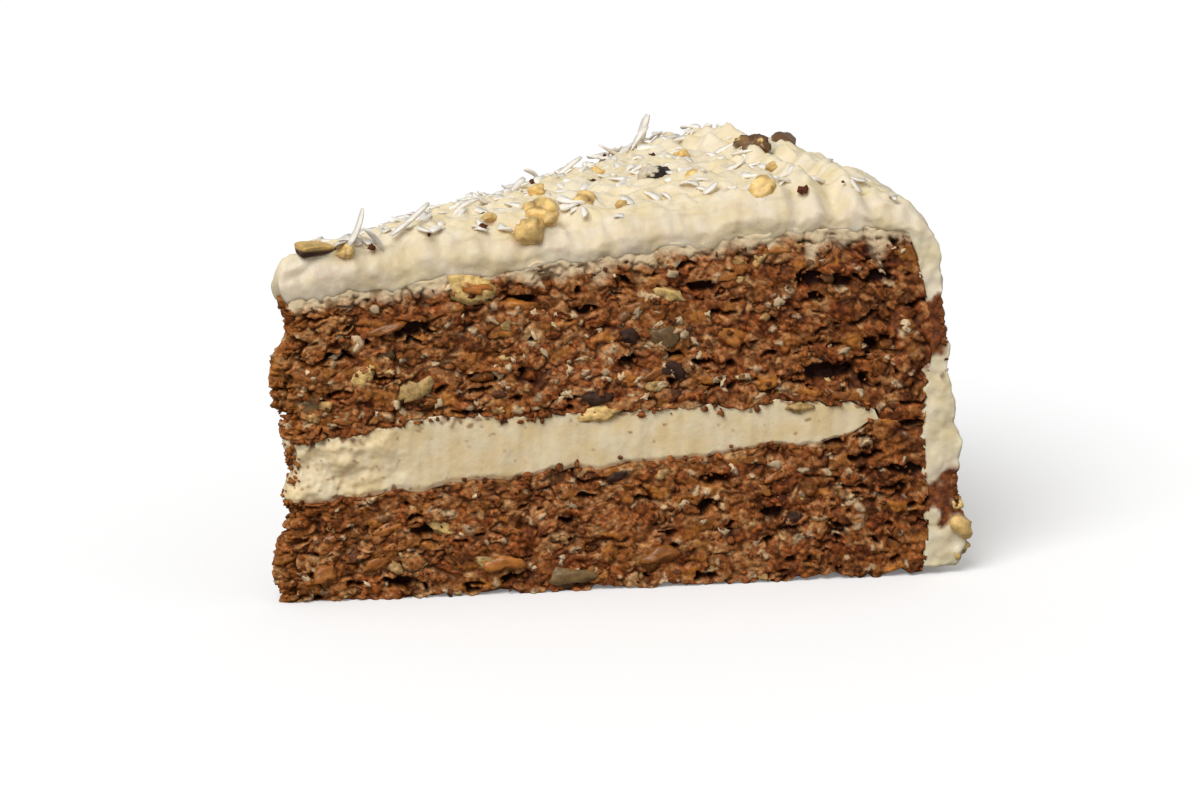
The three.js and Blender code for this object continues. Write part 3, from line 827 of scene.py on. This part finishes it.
def chunks(place, direction, normal, size, seed, sharp, rings=(8, 6)):
    """Lumps: a small ball whose points are moved in and out by noise, so that it is angular.

    Each has its own half-sizes along, across and up."""
    ball, faces = ball_grid(*rings)
    along, side, up = frames(direction, normal)
    bump = 1 + sharp * 2 * noise(ball[None] * 1.3 + place[:, None] * 3.1, seed)
    local = ball[None] * bump[..., None] * size[:, None]
    points = local[..., :1] * along[:, None] + local[..., 1:2] * side[:, None]
    points = points + local[..., 2:] * up[:, None] + place[:, None]
    moved = [tuple(v + len(ball) * i for v in face) for i in range(len(place)) for face in faces]
    return points.reshape(-1, 3), moved


def repeated(vector, count):
    """One direction for each of several things."""
    return np.tile(vector, (count, 1))


def per_thing(colours, points):
    """One colour for each of several like things, repeated over their points."""
    return np.repeat(colours, len(points) // len(colours), axis=0)


def tinted(name, random, count, spread):
    """A colour property made lighter or darker by up to the spread, for each of several things."""
    return colour_of(name) * random.uniform(1 - spread, 1 + spread / 2, (count, 1))


def crumb_spots(count, random):
    """Random spots on both cut faces of both sponges: radius, height and which cut, -1 or 1."""
    side = np.where(random.random(count) < 0.5, -1.0, 1.0)
    radius = random.uniform(8, 125, count)
    x, y = plan(radius, side * sizes()["half"])
    share = random.uniform(0.03, 0.92, count)
    upper = lerp(filling_top(x, y), sponge_top(x, y), share)
    height = np.where(random.random(count) < IN_TOP_SPONGE, upper, filling_base(x, y) * share)
    return radius, height, side


def on_cut(radius, height, side, tilt):
    """Places on a cut face, out at the crumb's own relief there, with the face's normal and a direction in
    the face that is tilted from the level."""
    half = sizes()["half"]
    points = on_cake(radius, side * half, height)
    lower, upper = (crumb(points, side, seed)[0] for seed in (BOTTOM_SEED, TOP_SEED))
    relief = np.where(height < LAYER_JOIN - 2, lower, upper)
    normal = off_cut(side, half)
    direction = on_cake(np.cos(tilt), side * half, np.sin(tilt))
    return points + normal * np.maximum(relief, DEEPEST_SEAT)[:, None], normal, direction


def on_frosting(radius, angle):
    """Places on top of the frosting."""
    x, y = plan(radius, angle)
    return np.stack([x, y, frosting_top(x, y, sizes())], -1)


def nut(node, lobes, wrinkle, planes, seed):
    """A nut that fills its solid's box: in each direction from its middle, the outermost of several balls.

    Along direction d, a ball of radius r at c is left at d.c + sqrt(r * r - c.c + (d.c) ** 2). The shape is
    wrinkled by noise, broken off along planes, where n.d times the distance reaches the plane's own, and
    stretched to the box. A chip's coordinates are also raised to a power, which squares it off. Also gives
    how near each point is to a crease, and where it is broken."""
    ball, faces = ball_grid(40, 26)
    reach = np.zeros((len(lobes), len(ball)))
    for row, (x, y, z, r) in zip(reach, lobes):
        along = ball @ np.array([x, y, z])
        row[:] = along + np.sqrt(np.maximum(r * r - (x * x + y * y + z * z) + along**2, 0.01))
    order = np.sort(reach, axis=0)
    crease = smoothstep(0.16, 0.0, order[-1] - order[-2])
    folds = np.abs(noise(ball * 2.6, seed)) + 0.5 * np.abs(noise(ball * 5.5, seed + 1))
    random = np.random.default_rng(seed)
    breaks = random.normal(0, 1, (planes, 3))
    breaks /= np.linalg.norm(breaks, axis=1, keepdims=True)
    cut = (random.uniform(0.45, 0.85, planes) / np.maximum(ball @ breaks.T, 0.05)).min(1)
    broken = smoothstep(-0.02, 0.06, order[-1] - cut)
    local = ball * np.minimum(order[-1] * (1 - wrinkle * (0.5 - folds)), cut)[:, None]
    local = np.sign(local) * np.abs(local) ** (CHIP_BLUNTNESS if planes > CHIP_BREAKS else 1.0)
    low, high = local.min(0), local.max(0)
    corners = node_corners(node)
    return lerp(corners[0], corners[1], (local - low) / (high - low)), faces, ball, crease, broken


# What lies on the cake and shows in it

FILLING_STEPS = (340, 10, 40)
# Each nut's lobes as balls x, y, z, radius, how wrinkled it is, how many breaks and how much skin it has
NUTS = {
    "walnut_tip": (((0.2, 0.0, 0.0, 0.95), (-0.25, 0.1, 0.0, 0.9)), 0.05, 12, 0.0),
    "walnut_edge": (((0.2, 0.0, 0.0, 0.9), (-0.25, 0.1, 0.0, 0.85)), 0.15, 4, 0.0),
    "walnut_lobe": (((0.3, 0.1, 0.35, 0.62), (-0.25, -0.25, -0.2, 0.66), (-0.1, 0.35, 0.1, 0.6)),
                    0.1, 5, 0.05),
    "walnut_gold": (((0.3, 0.0, 0.2, 0.7), (-0.35, 0.1, -0.1, 0.7), (0.0, -0.35, 0.1, 0.6)), 0.12, 6, 0.2),
    "walnut_sunk": (((0.3, 0.1, 0.0, 0.7), (-0.3, -0.1, 0.1, 0.7)), 0.2, 4, 0.15),
    "walnut_skin": (((0.42, 0.0, 0.1, 0.66), (-0.42, 0.1, 0.0, 0.7)), 0.5, 3, 0.85),
    "walnut_nugget": (((0.2, 0.1, 0.1, 0.85), (-0.25, -0.15, 0.0, 0.8)), 0.08, 6, 0.0),
    "walnut_shoulder": (((0.4, 0.0, 0.0, 0.7), (-0.4, 0.0, 0.05, 0.7)), 0.2, 8, 0.95),
}
RAISIN_LOBES = ((0.25, 0, 0, 0.85), (-0.25, 0.05, 0.05, 0.85))

# What the front cut shows, as radius, height, half length, half height and tilt in degrees
INSETS = {
    "raisin": ((64.8, 37.2, 2.4, 1.3, 4), (107, 43.2, 2.1, 1.4, 20), (70.5, 49, 1.4, 1.7, 60),
               (79, 42.5, 1.5, 2.0, 70), (68, 22, 1.8, 0.9, 10), (102, 12.5, 1.7, 1.2, 15)),
    "kernel": ((41.6, 58.9, 4.6, 2.0, -14), (64.8, 34.2, 3.0, 1.3, 8), (30.5, 40.1, 1.7, 3.2, -60),
               (103.2, 33.9, 2.4, 0.9, 5), (78, 56.5, 1.2, 2.6, 70), (20.9, 43.3, 2.2, 1.5, 40),
               (36, 13, 1.2, 2.4, 70), (44, 6.5, 1.4, 2.0, 60)),
    "carrot": ((41.6, 59.4, 3.0, 1.2, -14), (25, 51.7, 3.4, 0.8, 18), (46.2, 6.1, 3.6, 1.4, 5),
               (76.6, 6.3, 3.6, 1.5, 20), (13.3, 5.3, 2.2, 1.8, 30), (49, 55.5, 3.4, 1.0, -6),
               (73, 54.5, 3.2, 1.2, 10), (90, 48, 2.8, 1.4, -30)),
    "fruit": ((59.5, 3.0, 3.8, 1.5, 0), (10.5, 38, 2.8, 1.6, -10), (24.5, 47, 2.0, 1.6, 20),
              (77.5, 48.5, 2.0, 2.4, 60)),
}
# Bits of nut on the top, as radius, angle in degrees and half sizes
TOP_BITS = ((52.2, -16.3, 3.0, 2.4, 2.5), (56.5, -14.8, 1.6, 1.3, 1.3), (46, -9, 1.5, 1.1, 0.8),
            (60, 2, 1.8, 1.4, 1.0), (71, -12, 1.2, 1.0, 0.8), (96, 6, 1.6, 1.2, 0.9),
            (80, 10, 1.6, 1.3, 1.0), (104, -6, 1.4, 1.1, 0.8))
# Bits of nut at the foot of the rim, as place from cut to cut, height and half size
FOOT_BITS = ((-0.99, 9.0, 2.6), (-0.965, 5.0, 2.2), (-0.985, 13.5, 1.7), (-0.94, 10.5, 1.6),
             (-0.99, 3.6, 1.6))
# Coconut that stands up, as radius, angle and rise in degrees, and length
SHREDS_ON_END = ((20.5, -13, 62, 7.5), (23.5, -14, -50, 6), (31, -9, 28, 10.5), (44.5, 2, 20, 7),
                 (50, 5, -35, 5), (62, 12, 30, 6), (78, 14, 25, 7), (90, 15.5, -30, 6), (97, 15, 45, 6),
                 (100, 16, 70, 6), (70, 15, -40, 5))
# Dark specks on the top, as radius and angle in degrees
DARK_SPECKS = ((44.2, -12.5), (47.1, -2.2), (87.5, 14.5), (33.5, -16.5), (112.4, -15), (104, -16),
               (23, -14), (66, 11.5), (74, 4), (92, 9))
# Half the rim's width from cut to cut in millimetres, and half the floor's in metres
RIM_HALF_WIDTH = 41
FLOOR_HALF_WIDTH = 6.0


# Operators

class CAKE_OT_sponges(bpy.types.Operator):
    """Build the two layers of sponge"""

    bl_idname = "cake.sponges"
    bl_label = "Sponges"

    def execute(self, context):
        material = sponge_material()
        layers = {"sponge_bottom": (table, filling_base, BOTTOM_SEED, 84, False),
                  "sponge_top": (filling_top, sponge_top, TOP_SEED, 106, True)}
        for node, layer in layers.items():
            points, faces, looks = sponge_layer(*layer)
            make_piece(node + "_crumb", points, faces, material, looks, [node])
        return {"FINISHED"}


class CAKE_OT_filling(bpy.types.Operator):
    """Build the cream between the sponges"""

    bl_idname = "cake.filling"
    bl_label = "Cream filling"

    def execute(self, context):
        look = context.scene.cake_colours
        material = cream_material("Cream cheese filling", look.filling, 0.42, (0.93, 0.86, 0.7))
        half = sizes()["half"]
        t, across, up, faces = wedge_grid(FILLING_STEPS)
        angle = across * half
        x, y = plan(lerp(TIP_RADIUS, FILLING_END, t), angle)
        height = lerp(filling_base(x, y), filling_top(x, y), up)
        tip = tip_radius(height, across)
        radius = lerp(tip, FILLING_END, t)
        points = on_cake(radius, angle, height)
        broken = smoothstep(34, 16, radius)
        relief = noises(points, (0.5, 9, 302), (0.3, (1.8, 1.8, 6), 303))
        relief += broken * noises(points, (1.6, 4.5, 301), (0.9, 2.2, 304), (0.4, 1, 305))
        relief -= 0.5 * smoothstep(0.1, 0, up)
        fine = noises(points, (1, 1.1, 306), (0.6, (2.6, 2.6, 1.4), 307))
        edge = np.maximum(smoothstep(0.72, 1, up), smoothstep(0.14, 0, up))
        stain = 0.75 * smoothstep(0.42, 0.7, fine + 0.4 * edge + 0.12 * broken)
        stain = np.maximum(stain, 0.9 * broken * smoothstep(0.42, 0.6, noise(points / 1.7, 308)))
        points = points + outward(radius, across, tip, half) * relief[:, None]
        make_piece("filling_cream", points, faces, material, {"stain": stain}, ["cream_filling"])
        return {"FINISHED"}


class CAKE_OT_frosting(bpy.types.Operator):
    """Spread the frosting over the top and the rim"""

    bl_idname = "cake.frosting"
    bl_label = "Frosting"

    def execute(self, context):
        look = context.scene.cake_colours
        material = cream_material("Cream cheese frosting", look.frosting, 0.42, (0.93, 0.89, 0.72))
        points, faces, stain = frosting_shell()
        # The stain holds crumb that shows through on the rim and painted shade on the cut faces
        make_piece("frosting_spread", points, faces, material, {"stain": stain}, ["frosting"])
        return {"FINISHED"}


class CAKE_OT_nuts(bpy.types.Operator):
    """Set the walnuts on the frosting"""

    bl_idname = "cake.nuts"
    bl_label = "Walnuts"

    def execute(self, context):
        # A broken kernel is waxy and a little see-through, its skin papery and brown
        material = food_material("Walnut kernel and skin", 2.2, 0.42, 0.25, 0.35)
        for seed, (node, (lobes, wrinkle, planes, brown)) in enumerate(NUTS.items()):
            points, faces, ball, crease, broken = nut(node, lobes, wrinkle, planes, 400 + seed)
            patch = noise(ball * 1.7, 420 + seed) + 0.5 * noise(ball * 4, 440 + seed)
            skin = smoothstep(0.45 - brown, 0.7 - brown, patch) + 0.6 * crease - 0.7 * broken * (1 - brown)
            light = lerp(0.8, 1.2, smoothstep(-0.4, 0.4, noise(ball * 1.2, 460 + seed)))
            dark = colour_of("skin") * lerp(0.7, 1.3, crease[:, None])
            paint = blend(colour_of("kernel") * light[:, None], dark, 0.9 * np.clip(skin, 0, 1))
            if node == "walnut_tip":
                under = smoothstep(0.15, -0.05, ball[:, 2])
                paint = blend(paint * (0.72, 0.7, 0.62), colour_of("skin") * 0.45, under)
            make_piece(node + "_piece", points, faces, material, {"paint": paint}, [node])
        size = sizes()
        random = np.random.default_rng(53)
        top = np.array(TOP_BITS)
        foot = np.array(FOOT_BITS + tuple(zip(random.uniform(-0.95, 0.98, 24), random.uniform(2.5, 15, 24),
                                              random.uniform(0.8, 2.2, 24))))
        top_place = on_frosting(top[:, 0], np.radians(top[:, 1])) + top[:, 2:3] * (0, 0, 0.3)
        reach = size["sponge_radius"] + curve(FROSTED_RIM, foot[:, 1]) - 0.4 * foot[:, 2]
        angle = foot[:, 0] * size["half"]
        foot_place = on_cake(reach, angle, foot[:, 1])
        half = np.concatenate([top[:, 2:], foot[:, 2:] * random.uniform(0.6, 1.1, (len(foot), 3))])
        level, out = 0 * angle, 1 + 0 * angle
        normal = np.concatenate([repeated([0, 0, 1.0], len(top)), on_cake(out, angle, level)])
        way = np.concatenate([repeated([1.0, 0.3, 0], len(top)), on_cake(out, angle + 1.5, level + 0.4)])
        place = np.concatenate([top_place, foot_place])
        points, faces = chunks(place, way, normal, half, 471, 0.45, (16, 10))
        paint = per_thing(tinted("kernel", random, len(half), 0.25), points)
        make_piece("walnut_bits", points, faces, material, {"paint": paint})
        return {"FINISHED"}


class CAKE_OT_raisin(bpy.types.Operator):
    """Set the raisin on the frosting"""

    bl_idname = "cake.raisin"
    bl_label = "Raisin"

    def execute(self, context):
        # Dried grape: nearly black, deeply wrinkled, glossy, with frosting wiped over its top
        material = food_material("Dried raisin", 1.2, 0.24, 0.1, 0.3)
        points, faces, ball, *_ = nut("raisin_top", RAISIN_LOBES, 0.35, 2, 480)
        smear_and_shade = smoothstep(0.5, 0.62, 0.6 * ball[:, 2] - 0.6 * ball[:, 0] + 0.5 * noise(ball * 3, 481))
        paint = blend(colour_of("raisin"), colour_of("frosting") * 0.85, 0.9 * smear_and_shade)
        make_piece("raisin_top_piece", points, faces, material, {"paint": paint}, ["raisin_top"])
        return {"FINISHED"}


class CAKE_OT_coconut(bpy.types.Operator):
    """Strew coconut shreds over the top and set flakes into the crumb"""

    bl_idname = "cake.coconut"
    bl_label = "Coconut"

    def execute(self, context):
        size = context.scene.cake_sizes
        random = np.random.default_rng(11)
        # Shredded coconut is moist, white and lets light through
        material = food_material("Shredded coconut", 1.6, 0.45, 0.08, 0.12)
        half = sizes()["half"]
        count = size.shreds
        radius = 10 + 112 * random.random(count) ** 0.75
        angle = (1 - 2 * random.random(count) ** 2) * (half - 1.5 / radius)
        turn = random.uniform(0, np.pi, count)
        long = random.uniform(1.5, 5.5, count)
        step = on_cake(long / 2, turn, 0 * long)
        x, y = plan(radius, angle)
        ends = [frosting_top(x + k * step[:, 0], y + k * step[:, 1], sizes()) for k in (-1, 1)]
        direction = step * 2
        direction[:, 2] = ends[1] - ends[0] + long * random.normal(0, 0.12, count)
        stood = np.array(SHREDS_ON_END)
        rise = np.radians(stood[:, 2])
        stood_place = on_frosting(stood[:, 0], np.radians(stood[:, 1]))
        stood_place[:, 2] += np.abs(np.sin(rise)) * stood[:, 3] / 2 - 0.6
        stood_way = np.stack([np.cos(rise), 0.3 * np.cos(rise), np.sin(rise)], -1)
        place = np.concatenate([np.stack([x, y, (ends[0] + ends[1]) / 2 + 0.05], -1), stood_place])
        direction = np.concatenate([direction, stood_way])
        long = np.concatenate([long, stood[:, 3]])
        normal = np.cross(direction, np.cross([0, 0, 1.0], direction) + 1e-6)
        count = len(long)
        points, faces = strips(place, direction, normal, long, random.uniform(0.9, 1.9, count),
                               random.uniform(0.3, 0.55, count), random.uniform(-0.5, 0.3, count),
                               random.uniform(-1, 1, count), random.uniform(-0.6, 0.6, count))
        paint = per_thing(tinted("coconut", random, count, 0.08), points)
        make_piece("coconut_shreds", points, faces, material, {"paint": paint})

        count = size.flakes
        radius, height, side = crumb_spots(count, random)
        cluster = np.arange(count) < count // 3
        radius = np.where(cluster, random.normal(62, 16, count).clip(10, 124), radius)
        height = np.where(cluster, random.normal(44, 5, count).clip(37, 58), height)
        place, normal, direction = on_cut(radius, height, side, random.normal(0, 0.6, count))
        flat_size = np.stack([random.uniform(0.3, 1.2, count), random.uniform(0.25, 0.9, count),
                              random.uniform(0.15, 0.4, count)], -1)
        points, faces = chunks(place, direction, normal, flat_size, 501, 1.1)
        paint = per_thing(tinted("fleck", random, count, 0.4), points)
        make_piece("coconut_flakes", points, faces, material, {"paint": paint})
        return {"FINISHED"}


class CAKE_OT_inclusions(bpy.types.Operator):
    """Set carrot, nut, fruit and raisin into the crumb"""

    bl_idname = "cake.inclusions"
    bl_label = "Carrot, nut and fruit"

    def execute(self, context):
        size = context.scene.cake_sizes
        random = np.random.default_rng(23)
        # Baked carrot is damp and amber, chopped nut dry, fruit soft and shiny, a cut raisin dull and dark
        kinds = {
            "carrot": (("Baked carrot", 1.4, 0.36, 0.5, 0.3), size.carrots, (2.2, 0.8, 0.3), "sponge"),
            "kernel": (("Chopped nut", 1.0, 0.5, 0.2, 0.4), size.bits, (1.1, 0.8, 0.4), "walnut"),
            "fruit": (("Soft dried fruit", 1.5, 0.36, 0.4, 0.35), size.bits // 4, (1.5, 1.0, 0.4),
                      "sponge"),
            "raisin": (("Raisin in the crumb", 1.2, 0.75, 0.1, 0.5), size.bits // 6, (1.4, 0.9, 0.5),
                       "raisin"),
        }
        for seed, (kind, (look, count, half, slot)) in enumerate(kinds.items()):
            material = food_material(*look)
            shown = np.array(INSETS[kind])
            rest = slice(len(shown), None)
            radius, height, side = crumb_spots(count, random)
            radius = np.concatenate([shown[:, 0], radius])
            height = np.concatenate([shown[:, 1], height])
            side = np.concatenate([np.full(len(shown), -1.0), side])
            tilt = np.concatenate([np.radians(shown[:, 4]), random.normal(0, 0.4, count)])
            place, normal, direction = on_cut(radius, height, side, tilt)
            scale = random.uniform(0.5, 1.3, (count, 1)) * half
            thick = np.full(len(shown), 1.0 if kind == "carrot" else 0.45)
            half_sizes = np.concatenate([np.column_stack([shown[:, 2:4], thick]), scale])
            place[rest] -= 0.15 * normal[rest]
            points, faces = chunks(place, direction, normal, half_sizes, 511 + seed, 0.7, (12, 8))
            paint = lerp(tinted(kind, random, len(radius), 0.4), colour_of("crumb"), 0.12)
            paint[rest] = lerp(paint[rest], colour_of("crumb"), random.uniform(0, 0.6, (count, 1)))
            paint = per_thing(paint, points)
            make_piece(kind + "_in_crumb", points, faces, material, {"paint": paint})
        return {"FINISHED"}


class CAKE_OT_crumbs(bpy.types.Operator):
    """Leave crumbs clinging to the cuts, the tip, the rim and the frosting"""

    bl_idname = "cake.crumbs"
    bl_label = "Crumbs"

    def execute(self, context):
        size, count = sizes(), context.scene.cake_sizes.crumbs
        half = size["half"]
        random = np.random.default_rng(37)
        radius, height, side = crumb_spots(count, random)
        place, normal, direction = on_cut(radius, height, side, random.uniform(-1.5, 1.5, count))
        torn = count // 5
        height = random.uniform(1, 57, torn)
        across = random.uniform(-1, 1, torn)
        reach = tip_radius(height, across) + random.uniform(-0.2, 0.8, torn)
        tip_place = on_cake(reach, across * half, height)
        edge = count // 4
        edge_side = np.where(np.arange(edge) % 2 == 0, -1.0, 1.0)
        edge_radius = random.uniform(8, 117, edge)
        x, y = plan(edge_radius, edge_side * half)
        edge_height = np.where(random.random(edge) < 0.6, filling_top(x, y), filling_base(x, y))
        edge_place = np.stack([x, y, edge_height + random.normal(0, 0.5, edge)], -1)
        patch = np.array(RIM_PATCHES)[random.integers(0, len(RIM_PATCHES), edge)]
        spread = random.normal(0, 0.4, edge) * patch[:, 2] / RIM_HALF_WIDTH
        rim_angle = np.clip(patch[:, 0] + spread, -1, 1) * half
        rim_height = patch[:, 1] + random.normal(0, 0.5, edge) * patch[:, 3]
        rim_radius = size["sponge_radius"] + curve(FROSTED_RIM, rim_height) - 0.8
        place = np.concatenate([place, edge_place, on_cake(rim_radius, rim_angle, rim_height)])
        rim_normal = on_cake(1 + 0 * rim_angle, rim_angle, 0 * rim_angle)
        normal = np.concatenate([normal, off_cut(edge_side, half), rim_normal])
        direction = np.concatenate([direction, repeated([0.2, 0.1, 1.0], 2 * edge)])
        count = len(place)
        specks = np.array(DARK_SPECKS)
        top_place = on_frosting(specks[:, 0], np.radians(specks[:, 1]))
        places = np.concatenate([place + 0.2 * normal, tip_place, top_place])
        total = len(places)
        normals = np.concatenate([normal, repeated([-1.0, 0, 0.2], torn),
                                  repeated([0, 0, 1.0], len(specks))])
        ways = np.concatenate([direction, repeated([0, 1.0, 0.3], torn),
                               repeated([1.0, 0.4, 0], len(specks))])
        half_sizes = random.uniform(0.2, 0.62, (total, 1)) * random.uniform(0.6, 1.4, (total, 3))
        half_sizes[-len(specks):] += (0.35, 0.15, 0.0)
        points, faces = chunks(places, ways, normals, half_sizes, 531, 0.9, (7, 5))
        paint = tinted("crumb", random, total, 0.6) * (0.85, 0.9, 0.95)
        # The crumbs on the tip are painted more orange, as painted light on the blunt tip
        paint[count:count + torn] = lerp(paint[count:count + torn], colour_of("carrot"), 0.35)
        paint[-len(specks):] = colour_of("skin")
        looks = {"paint": per_thing(paint, points), "wet": np.zeros(len(points))}
        material = bpy.data.materials["Carrot sponge crumb"]
        make_piece("clinging_crumbs", points, faces, material, looks)
        return {"FINISHED"}


def aimed(name, data, way):
    """A light or camera that looks along a direction."""
    made = bpy.data.objects.new(name, data)
    made.rotation_mode = "QUATERNION"
    made.rotation_quaternion = way.to_track_quat("-Z", "Y")
    bpy.context.scene.collection.objects.link(made)
    return made


class CAKE_OT_stage(bpy.types.Operator):
    """Set the floor, the light and the camera"""

    bl_idname = "cake.stage"
    bl_label = "Stage"

    def execute(self, context):
        scene = context.scene
        stage = scene.cake_stage
        # The camera sees the white paper; the cake is lit by the same paper seen less brightly, as from a
        # sweep that is lit apart
        papers = (("paper", "#FAFAFA", 0.16, 0.0), ("paper_bounce", "#CCCCCC", 0.0, 0.2))
        for name, code, glow, drop in papers:
            material, tree, shader, place = new_material("Matt white " + name)
            haze = add_node(tree, "ShaderNodeTexNoise", {"Vector": place, "Scale": per_metre(300)})
            tone = linear(code)
            pale = add_node(tree, "ShaderNodeMix", {0: haze.outputs["Fac"], 6: rgba(tone),
                                                    7: rgba([c * 0.98 for c in tone])}, data_type="RGBA")
            set_inputs(tree, shader, {"Base Color": pale.outputs[2], "Roughness": 0.9,
                                      "Specular IOR Level": 0.1, "Emission Color": (1, 1, 1, 1),
                                      "Emission Strength": glow})
            mesh = bpy.data.meshes.new(name)
            w, z = FLOOR_HALF_WIDTH, -drop * MM
            mesh.from_pydata([(-w, -w, z), (w, -w, z), (w, w, z), (-w, w, z)], [], [(0, 1, 2, 3)])
            mesh.materials.append(material)
            floor = bpy.data.objects.new(name, mesh)
            scene.collection.objects.link(floor)
            floor.visible_camera = drop == 0
            floor.visible_diffuse = floor.visible_glossy = drop > 0

        world = bpy.data.worlds.new("White studio")
        world.use_nodes = True
        sky = world.node_tree
        set_inputs(sky, sky.nodes["Background"], {"Color": (1, 1, 1, 1), "Strength": stage.sky})
        scene.world = world

        key = bpy.data.lights.new("key", "SUN")
        key.energy = stage.key_strength
        key.angle = stage.key_width
        aimed("key", key, -Vector(stage.key_from))

        lens = bpy.data.cameras.new("camera")
        lens.sensor_width = SENSOR
        lens.lens = stage.focal_pixels / PHOTO_WIDTH * SENSOR
        a, e = stage.azimuth, stage.elevation
        back = Vector((math.sin(a) * math.cos(e), -math.cos(a) * math.cos(e), math.sin(e)))
        camera = aimed("camera", lens, -back)
        camera.location = Vector(stage.aim) + back * stage.distance
        scene.camera = camera
        scene.view_settings.view_transform = "Standard"
        return {"FINISHED"}


class CAKE_PT_panel(bpy.types.Panel):
    """The cake's pieces and settings"""

    bl_idname = "CAKE_PT_panel"
    bl_label = "Carrot cake slice"
    bl_space_type = "VIEW_3D"
    bl_region_type = "UI"
    bl_category = "Cake"

    def draw(self, context):
        for operator in OPERATORS:
            self.layout.operator(operator.bl_idname)
        for group in (context.scene.cake_sizes, context.scene.cake_colours, context.scene.cake_stage):
            box = self.layout.box()
            for name in group.__annotations__:
                box.prop(group, name)


OPERATORS = (CAKE_OT_stage, CAKE_OT_sponges, CAKE_OT_filling, CAKE_OT_frosting, CAKE_OT_nuts,
             CAKE_OT_raisin, CAKE_OT_coconut, CAKE_OT_inclusions, CAKE_OT_crumbs)
GROUPS = {"cake_sizes": CakeSizes, "cake_colours": CakeColours, "cake_stage": StageSettings}
CLASSES = (*GROUPS.values(), *OPERATORS, CAKE_PT_panel)


def register():
    for cls in CLASSES:
        bpy.utils.register_class(cls)
    for name, group in GROUPS.items():
        setattr(bpy.types.Scene, name, PointerProperty(type=group))


def unregister():
    for name in GROUPS:
        delattr(bpy.types.Scene, name)
    for cls in reversed(CLASSES):
        bpy.utils.unregister_class(cls)


def main():
    """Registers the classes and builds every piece."""
    register()
    bpy.ops.cake.stage()
    bpy.ops.cake.sponges()
    bpy.ops.cake.filling()
    bpy.ops.cake.frosting()
    bpy.ops.cake.nuts()
    bpy.ops.cake.raisin()
    bpy.ops.cake.coconut()
    bpy.ops.cake.inclusions()
    bpy.ops.cake.crumbs()
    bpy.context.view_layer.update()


if __name__ == "__main__":
    main()
